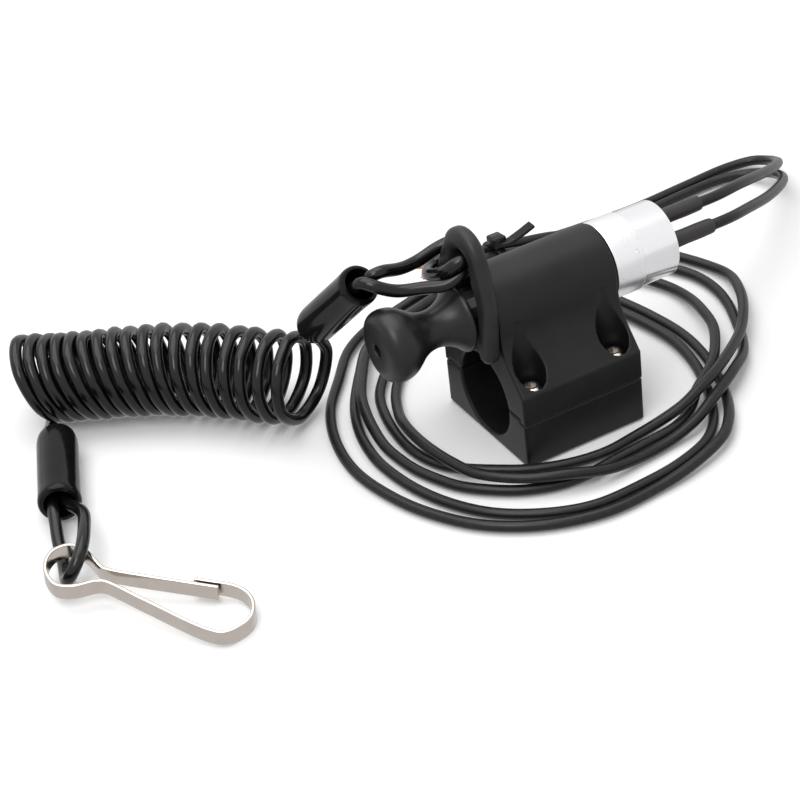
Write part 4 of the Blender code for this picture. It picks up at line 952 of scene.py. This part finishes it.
# %% Fork clip
FORK_Y, FORK_LEAN, FORK_T, FORK_ROUND = -19.4, radians(5.5), 4.0, 1.6
inner, leg, tip_v, shoulder = 6.7, 5.1, -8.6, 5.0
outer, tip = inner + leg, leg / 2
eye_r, eye_v, crown_r, crown_v, crown_start = 3.7, 15.6, 8.0, 16.8, 25
meet = radians(crown_start)
half = arc((0, eye_v), eye_r, 90, 0, 20)
half += bezier((eye_r, eye_v), (eye_r, 10.5), (inner, 10.5), (inner, shoulder), 20)[1:]
half += [(inner, shoulder), (inner, -2.0)]
half += arc((inner + tip, tip_v + tip), tip, 180, 360, 28)
half += [(outer, -2.0)]
half += bezier((outer, shoulder), (outer - 0.1, shoulder + 5.5), (8.9, 15.6),
               (crown_r * cos(meet), crown_v + crown_r * sin(meet)), 22)
half += arc((0, crown_v), crown_r, crown_start, 90, 22)
fork_place = at(0, FORK_Y, AXIS_Z) @ Matrix.Rotation(FORK_LEAN, 4, "Y") @ ACROSS
fork = stand_for(plate("fork", mirrored(half), FORK_T, FORK_ROUND, fork_place, fork_look, 6), "fork_clip")
print("fork faces", len(fork.data.polygons))

# %% [markdown]
# ## Sleeves and crimps
# The rubber sleeves are drawn tight over the crimps: a thick lip at the mouth, a slow taper, and a
# rounded shoulder at the tail. The mouth is dark because the bore behind it is real. The two heat-shrink
# tubes at the barrel are thin and plain, with a slight wave where they were shrunk over the wire.

# %% Sleeves and crimps
SLEEVE_BORE, TAIL_HOLE, CLIP_SLEEVE_R, HOOK_SLEEVE_R = 3.9, 2.3, 5.0, 5.3


def sleeve(name, ends, radius):
    """A cord sleeve, from its mouth to its tail and back up its bore."""
    length = (ends[1] - ends[0]).length
    outside = [(radius - 0.35, length - 0.02), (radius - 0.02, length - 0.35),
               (radius + 0.12, length - 1.2), (radius + 0.1, length - 2.6), (radius + 0.02, length - 5),
               (radius, length * 0.6), (radius, length * 0.3), (radius - 0.15, 3.2), (radius - 0.7, 1.4),
               (radius - 1.6, 0.3)]
    profile = [(SLEEVE_BORE + 0.12, length)] + smooth_outline(outside, 44) + [
        (TAIL_HOLE + 0.3, 0), (TAIL_HOLE, 0.3), (TAIL_HOLE, TAIL_WALL), (SLEEVE_BORE, TAIL_WALL),
        (SLEEVE_BORE, length - 0.3)]
    return lathe(name, profile, towards(*ends), sleeve_look, 72)


def crimp(name, ends):
    """The pressed metal crimp inside a sleeve."""
    radius, low_end = SLEEVE_BORE - GAP, TAIL_WALL + GAP
    high_end = low_end + CRIMP_L
    profile = soften([(0, high_end), (radius, high_end), (radius, low_end), (0, low_end)], 0.6)
    return lathe(name, profile, towards(*ends), nickel_look, 48)


stand_for(sleeve("clip_sleeve", CLIP_SLEEVE, CLIP_SLEEVE_R), "clip_end_sleeve")
hook_sleeve = stand_for(sleeve("hook_sleeve", HOOK_SLEEVE, HOOK_SLEEVE_R), "hook_end_sleeve")
stand_for(crimp("clip_press", CLIP_SLEEVE), "clip_crimp")
hook_press = stand_for(crimp("hook_press", HOOK_SLEEVE), "hook_crimp")
print("sleeve faces", len(hook_sleeve.data.polygons), "crimp faces", len(hook_press.data.polygons))

# %% Shrink sleeves at the barrel
EXITS = ((-2.8, 3.1), (3.2, -0.5))       # where the wires leave, from the barrel's axis
SHRINK_LENGTHS = (14.5, 14.0)
shrinks = []
for i, ((x, z), length) in enumerate(zip(EXITS, SHRINK_LENGTHS), 1):
    front = barrel_end - GAP
    back = front - length
    profile = [(1.7, front), (2.06, front), (2.1, front - 3), (2.02, front - 6), (2.06, front - 10),
               (2.0, back + 1.2), (1.92, back + 0.3), (1.8, back), (1.62, back), (1.62, back + 0.4)]
    place = at(x, 0, AXIS_Z + z) @ ACROSS
    tube = lathe(f"shrink_tube_{i}", profile, place, shrink_look, 48)
    shrinks.append(stand_for(tube, f"shrink_sleeve_{i}"))
print("shrink tubes:", len(shrinks))

# %% [markdown]
# ## Swept strips
# The snap hook is one strip of plated steel, bent on edge: round the hook's nose, back along its spine,
# round the cord's ring, and out again as the spring that closes the nose. A strip is a small rounded
# rectangle carried along a line, so the helper takes, for each point, the two directions of its section.

# %% Sweep
CORNER_STEPS = 4


def rounded_box(width, height, radius):
    """A rounded rectangle's corners as (across, up) points."""
    made = []
    for sx, sy, start in ((1, 1, 0), (-1, 1, 90), (-1, -1, 180), (1, -1, 270)):
        centre = (sx * (width / 2 - radius), sy * (height / 2 - radius))
        made += arc(centre, radius, start, start + 90, CORNER_STEPS)
    return made


def direction(line, i):
    """The direction of a line of points at one of them."""
    return (line[min(i + 1, len(line) - 1)] - line[max(i - 1, 0)]).normalized()


def sweep(name, rows, section, look, place=Matrix.Identity(4), closed=False):
    """A section carried along rows of (point, across, up), with flat ends."""
    shape = bmesh.new()
    rings = []
    for point, across, up in rows:
        rings.append([shape.verts.new(place @ ((point + across * a + up * b) * MM)) for a, b in section])
    count = len(section)
    pairs = list(zip(rings, rings[1:])) + ([(rings[-1], rings[0])] if closed else [])
    for one, two in pairs:
        for k in range(count):
            shape.faces.new((one[k], one[(k + 1) % count], two[(k + 1) % count], two[k]))
    if not closed:
        shape.faces.new(list(reversed(rings[0])))
        shape.faces.new(rings[-1])
    return finish_mesh(name, shape, look)


# %% Snap hook
STRIP_H, STRIP_T, STRIP_EDGE, HOOK_TILT, HOOK_LIFT = 4.0, 0.9, 0.2, radians(4.1), 0.05
NOSE, RING = Vector((33.0, -102.3, 0)), Vector((-10.2, -128.0, 0))
HOOK_PATH = [
    (12.5, -105.2), (20.4, -98.0), (24.8, -97.0), (28.7, -98.2), (31.4, -100.6), (32.6, -103.8),
    (32.6, -107.7), (29.7, -110.5), (12.7, -118.4), (1.8, -123.4), (0.7, -125.0), (-0.5, -130.1),
    (-3.2, -133.4), (-10.2, -133.1), (-14.7, -129.1), (-14.5, -124.6), (-10.7, -122.5),
    (-2.9, -121.7), (-1.0, -120.5), (18.1, -101.9),
]
line = smooth_line([Vector((x, y, 0)) - NOSE for x, y in HOOK_PATH], 420)
rows = []
for i, point in enumerate(line):
    onward = direction(line, i)
    rows.append((point, Vector((onward.y, -onward.x, 0)), Vector((0, 0, 1))))
to_ring = (RING - NOSE).normalized()
hinge = Vector((to_ring.y, -to_ring.x, 0))
hook_place = at(NOSE.x, NOSE.y, HOOK_LIFT) @ Matrix.Rotation(HOOK_TILT, 4, hinge) @ at(0, 0, STRIP_H / 2)
hook = sweep("spring_hook", rows, rounded_box(STRIP_T, STRIP_H, STRIP_EDGE), nickel_look, hook_place)
stand_for(hook, "snap_hook")
print("hook faces", len(hook.data.polygons))

# %% [markdown]
# ## The cable tie
# A nylon tie holds the bundle behind the clamp. Its band is a closed sweep, its lock a rounded box, and
# its cut tail a strip with fine teeth across it, which the lock's pawl bites.

# %% Cable tie
TIE_X, TIE_Y, TIE_R, TIE_BAND, TIE_W, TIE_LIFT, BAND_STEPS = -58.0, 22.0, 6.3, 0.9, 2.5, 0.05, 96
LOCK_SIDES, LOCK_SHIFT, LOCK_LEAN, LOCK_EDGE = (4.6, 4.0, 3.2), 0.9, radians(-8), 0.6
TAIL_PATH = ((2.4, 0, 0.6), (3.9, 1.6, 1.3), (4.2, 5.0, 2.4), (4.1, 9.4, 3.9))     # from the band's crest
TAIL_W, TAIL_T, TOOTH = 2.7, 1.15, 0.12

centre = Vector((TIE_X, TIE_Y, TIE_R + TIE_LIFT))
crest = centre + Vector((0, 0, TIE_R))
rows = []
for k in range(BAND_STEPS):
    turn = 2 * pi * k / BAND_STEPS
    out = Vector((cos(turn), 0, sin(turn)))
    rows.append((centre + out * (TIE_R - TIE_BAND / 2), out, Vector((0, 1, 0))))
band = sweep("tie_band", rows, rounded_box(TIE_BAND, TIE_W, 0.25), plastic_look, closed=True)

shape = bmesh.new()
lock_place = at(crest.x + LOCK_SHIFT, crest.y, crest.z + TIE_BAND) @ Matrix.Rotation(LOCK_LEAN, 4, "Y")
lock_sides = Matrix.Diagonal((*(side * MM for side in LOCK_SIDES), 1))
bmesh.ops.create_cube(shape, size=1, matrix=lock_place @ lock_sides)
lock = round_edges(finish_mesh("tie_lock", shape, plastic_look), LOCK_EDGE)

path = smooth_line([crest + Vector(p) for p in TAIL_PATH], 60)
rows = []
for i, point in enumerate(path):
    onward = direction(path, i)
    across = onward.cross(Vector((0, 0, 1))).normalized()
    rows.append((point, across, across.cross(onward) * (1 - TOOTH * (i % 2))))
tail = sweep("tie_tail", rows, rounded_box(TAIL_W, TAIL_T, 0.3), plastic_look)
for piece in (band, lock, tail):
    stand_for(piece, "cable_tie")
print("tie tail", round(length_of(path) / MM, 1), "mm long")

# %% [markdown]
# ## The return spring
# The spring sits between the front bush, which stays, and the collar on the plunger, which moves. It is
# swept in place as five turns of round wire and shown instead of the CAD spring; it is not attached to
# either body.

# %% Return spring
SPRING_R, SPRING_WIRE_R, SPRING_TURNS, TURN_STEPS = 4.9, 0.45, 5, 48
SPRING_FRONT, SPRING_REAR = -2.25, 8.25
rows = []
for i in range(SPRING_TURNS * TURN_STEPS + 1):
    turn = 2 * pi * i / TURN_STEPS
    outward = Vector((cos(turn), 0, sin(turn)))
    y = SPRING_FRONT + (SPRING_REAR - SPRING_FRONT) * i / (SPRING_TURNS * TURN_STEPS)
    rows.append((outward * SPRING_R + Vector((0, y, AXIS_Z)), outward, Vector((0, 1, 0))))
spring = sweep("coil_spring", rows, arc((0, 0), SPRING_WIRE_R, 0, 330, 11), steel_look)
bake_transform(spring)
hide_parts("return_spring")
print("spring faces", len(spring.data.polygons))

# %% [markdown]
# ## Bare copper ends
# The insulation is cut back and the strands show. A single copper rod would look like a pin, so each end
# is a bundle of fine strands that twist by a third of a turn and splay a little at the tip.

# %% Copper strands
STRAND_R, STRAND_STEPS, BARE_LENGTH, TWIST = 0.17, 13, 4.6, 1.9
LAYERS = ((1, 0.0, 0.0), (3, 0.28, 2.1), (6, 0.52, 1.05))     # strands, their ring, radians between them


def strands(name, line):
    """A bundle of twisted strands that carries on from a wire's end."""
    end, onward = line[-1], (line[-1] - line[-4]).normalized()
    across = onward.cross(Vector((0, 0, 1))).normalized()
    up = across.cross(onward)
    chance = random.Random(len(line))
    lines = []
    for count, ring, spacing in LAYERS:
        for _ in range(count):
            first_spin = len(lines) * spacing
            reach = BARE_LENGTH + chance.uniform(-0.4, 0.3)
            splay = chance.uniform(0.0, 0.35)
            strand = []
            for i in range(STRAND_STEPS + 1):
                share = i / STRAND_STEPS
                spin = first_spin + share * TWIST
                outward = across * cos(spin) + up * sin(spin)
                wide = ring * (1 + splay * share ** 2)
                strand.append(end + onward * (GAP + reach * share) + outward * wide)
            lines.append(strand)
    return round_line(name, lines, STRAND_R, copper_look, 2)


cores = [stand_for(strands(f"copper_strands_{i}", line), f"wire_core_{i}")
         for i, line in enumerate(WIRE_LINES, 1)]
print("strands at each bare end:", sum(count for count, ring, spacing in LAYERS))

# %% [markdown]
# ## The cords
# For each free wire the loop below works out its length, the place where it leaves the object and the
# pieces on it, and the lanyard's and loops' lengths are worked out too; nothing is kept. The cords' names
# are printed.

# %% Cords
for wire, line, core, shrink, (x, z), more in zip(wires, WIRE_LINES, cores, shrinks, EXITS,
                                                  ([band, lock, tail], [])):
    x * MM
    (AXIS_Z + z) * MM
    length_of(line)
    [core, shrink] + more
length_of(lanyard_line)
length_of(clip_eye_line)
length_of(hook_eye_line)
print("cords:", ", ".join(piece.name for piece in (*wires, cord, clip_eye, hook_eye)))

# %% [markdown]
# ## Bench, lamps and sky
# The photograph is a product shot on white: big soft lamps, and a white tent that every glossy piece
# reflects. The bench is pale and takes the shadows. Where the camera or a mirror-like piece looks at the
# tent, it is plain white, but as a lamp it stays weak, so the blacks stay black. Far from the object the
# bench fades to white, so that a low view has no grey horizon. Gloss sees an even grey bench, which gives
# the barrel and the hook their darker undersides.

# %% Bench
SPAN, BENCH_DROP = 3.0, 0.0003                   # metres
GLOW_STARTS, GLOW_ENDS = 0.3, 1.1                # metres from the clamp
NEAR_GLOW, FAR_GLOW, MIRRORED_BENCH = 0.12, 0.62, 0.76
bench_look = Look("pale bench", (0.86, 0.86, 0.86), 0.7)
mesh = bpy.data.meshes.new("bench")
corners = [(SPAN * x, SPAN * y, 0) for x, y in ((-1, -1), (1, -1), (1, 1), (-1, 1))]
mesh.from_pydata(corners, [], [(0, 1, 2, 3)])
bench = add("bench", mesh, bench_look)
bench.location.z = -BENCH_DROP


def even_glow(level):
    """A plain grey glow of one level."""
    return bench_look.node("Emission", {}, {"Color": (level, level, level, 1)})


away = bench_look.node("VectorMath", {"operation": "LENGTH"}, {0: bench_look.place}, "Value")
level = NEAR_GLOW + away.between(GLOW_STARTS, GLOW_ENDS) * (FAR_GLOW - NEAR_GLOW)
share = level * bench_look.ray("Camera")
glow = bench_look.node("MixShader", {}, {0: share, 1: even_glow(0.0), 2: even_glow(1.0)})
lit = bench_look.node("AddShader", {}, {0: Value(bench_look, bench_look.shader.outputs["BSDF"]), 1: glow})
seen = bench_look.node("MixShader", {}, {0: bench_look.ray("Glossy"), 1: lit, 2: even_glow(MIRRORED_BENCH)})
bench_look.feed(bench_look.tree.nodes["Material Output"].inputs["Surface"], seen)
print("bench glow", NEAR_GLOW, "near and", FAR_GLOW, "far")

# %% Sky
LAMP_SKY = 0.36
world = bpy.data.worlds.new("tent")
bpy.context.scene.world = world
world.use_nodes = True
tent = Nodes(world.node_tree)
looked_at = tent.ray("Camera").larger(tent.ray("Glossy"))
background = tent.tree.nodes["Background"].inputs
tent.feed(background["Color"], (1, 1, 1, 1))
tent.feed(background["Strength"], LAMP_SKY + looked_at * (1 - LAMP_SKY))
print("the tent lights at", LAMP_SKY, "and shows white")


# %% Lamps
def soft_lamp(name, place, aim, size, power):
    """A square softbox at a place, aimed at a point, both in metres."""
    lamp = bpy.data.lights.new(name, "AREA")
    lamp.size = size
    lamp.energy = power
    made = bpy.data.objects.new(name, lamp)
    bpy.context.scene.collection.objects.link(made)
    made.location = place
    made.rotation_euler = (Vector(aim) - Vector(place)).to_track_quat("-Z", "Y").to_euler()
    print(name, power, "W")


soft_lamp("top box", (-0.22, -0.06, 0.90), (-0.02, 0, 0), 1.0, 7.4)
soft_lamp("front box", (0.32, -0.42, 0.72), (-0.03, -0.02, 0.02), 0.4, 2.6)

# %% View settings
bpy.context.scene.view_settings.view_transform = "Standard"
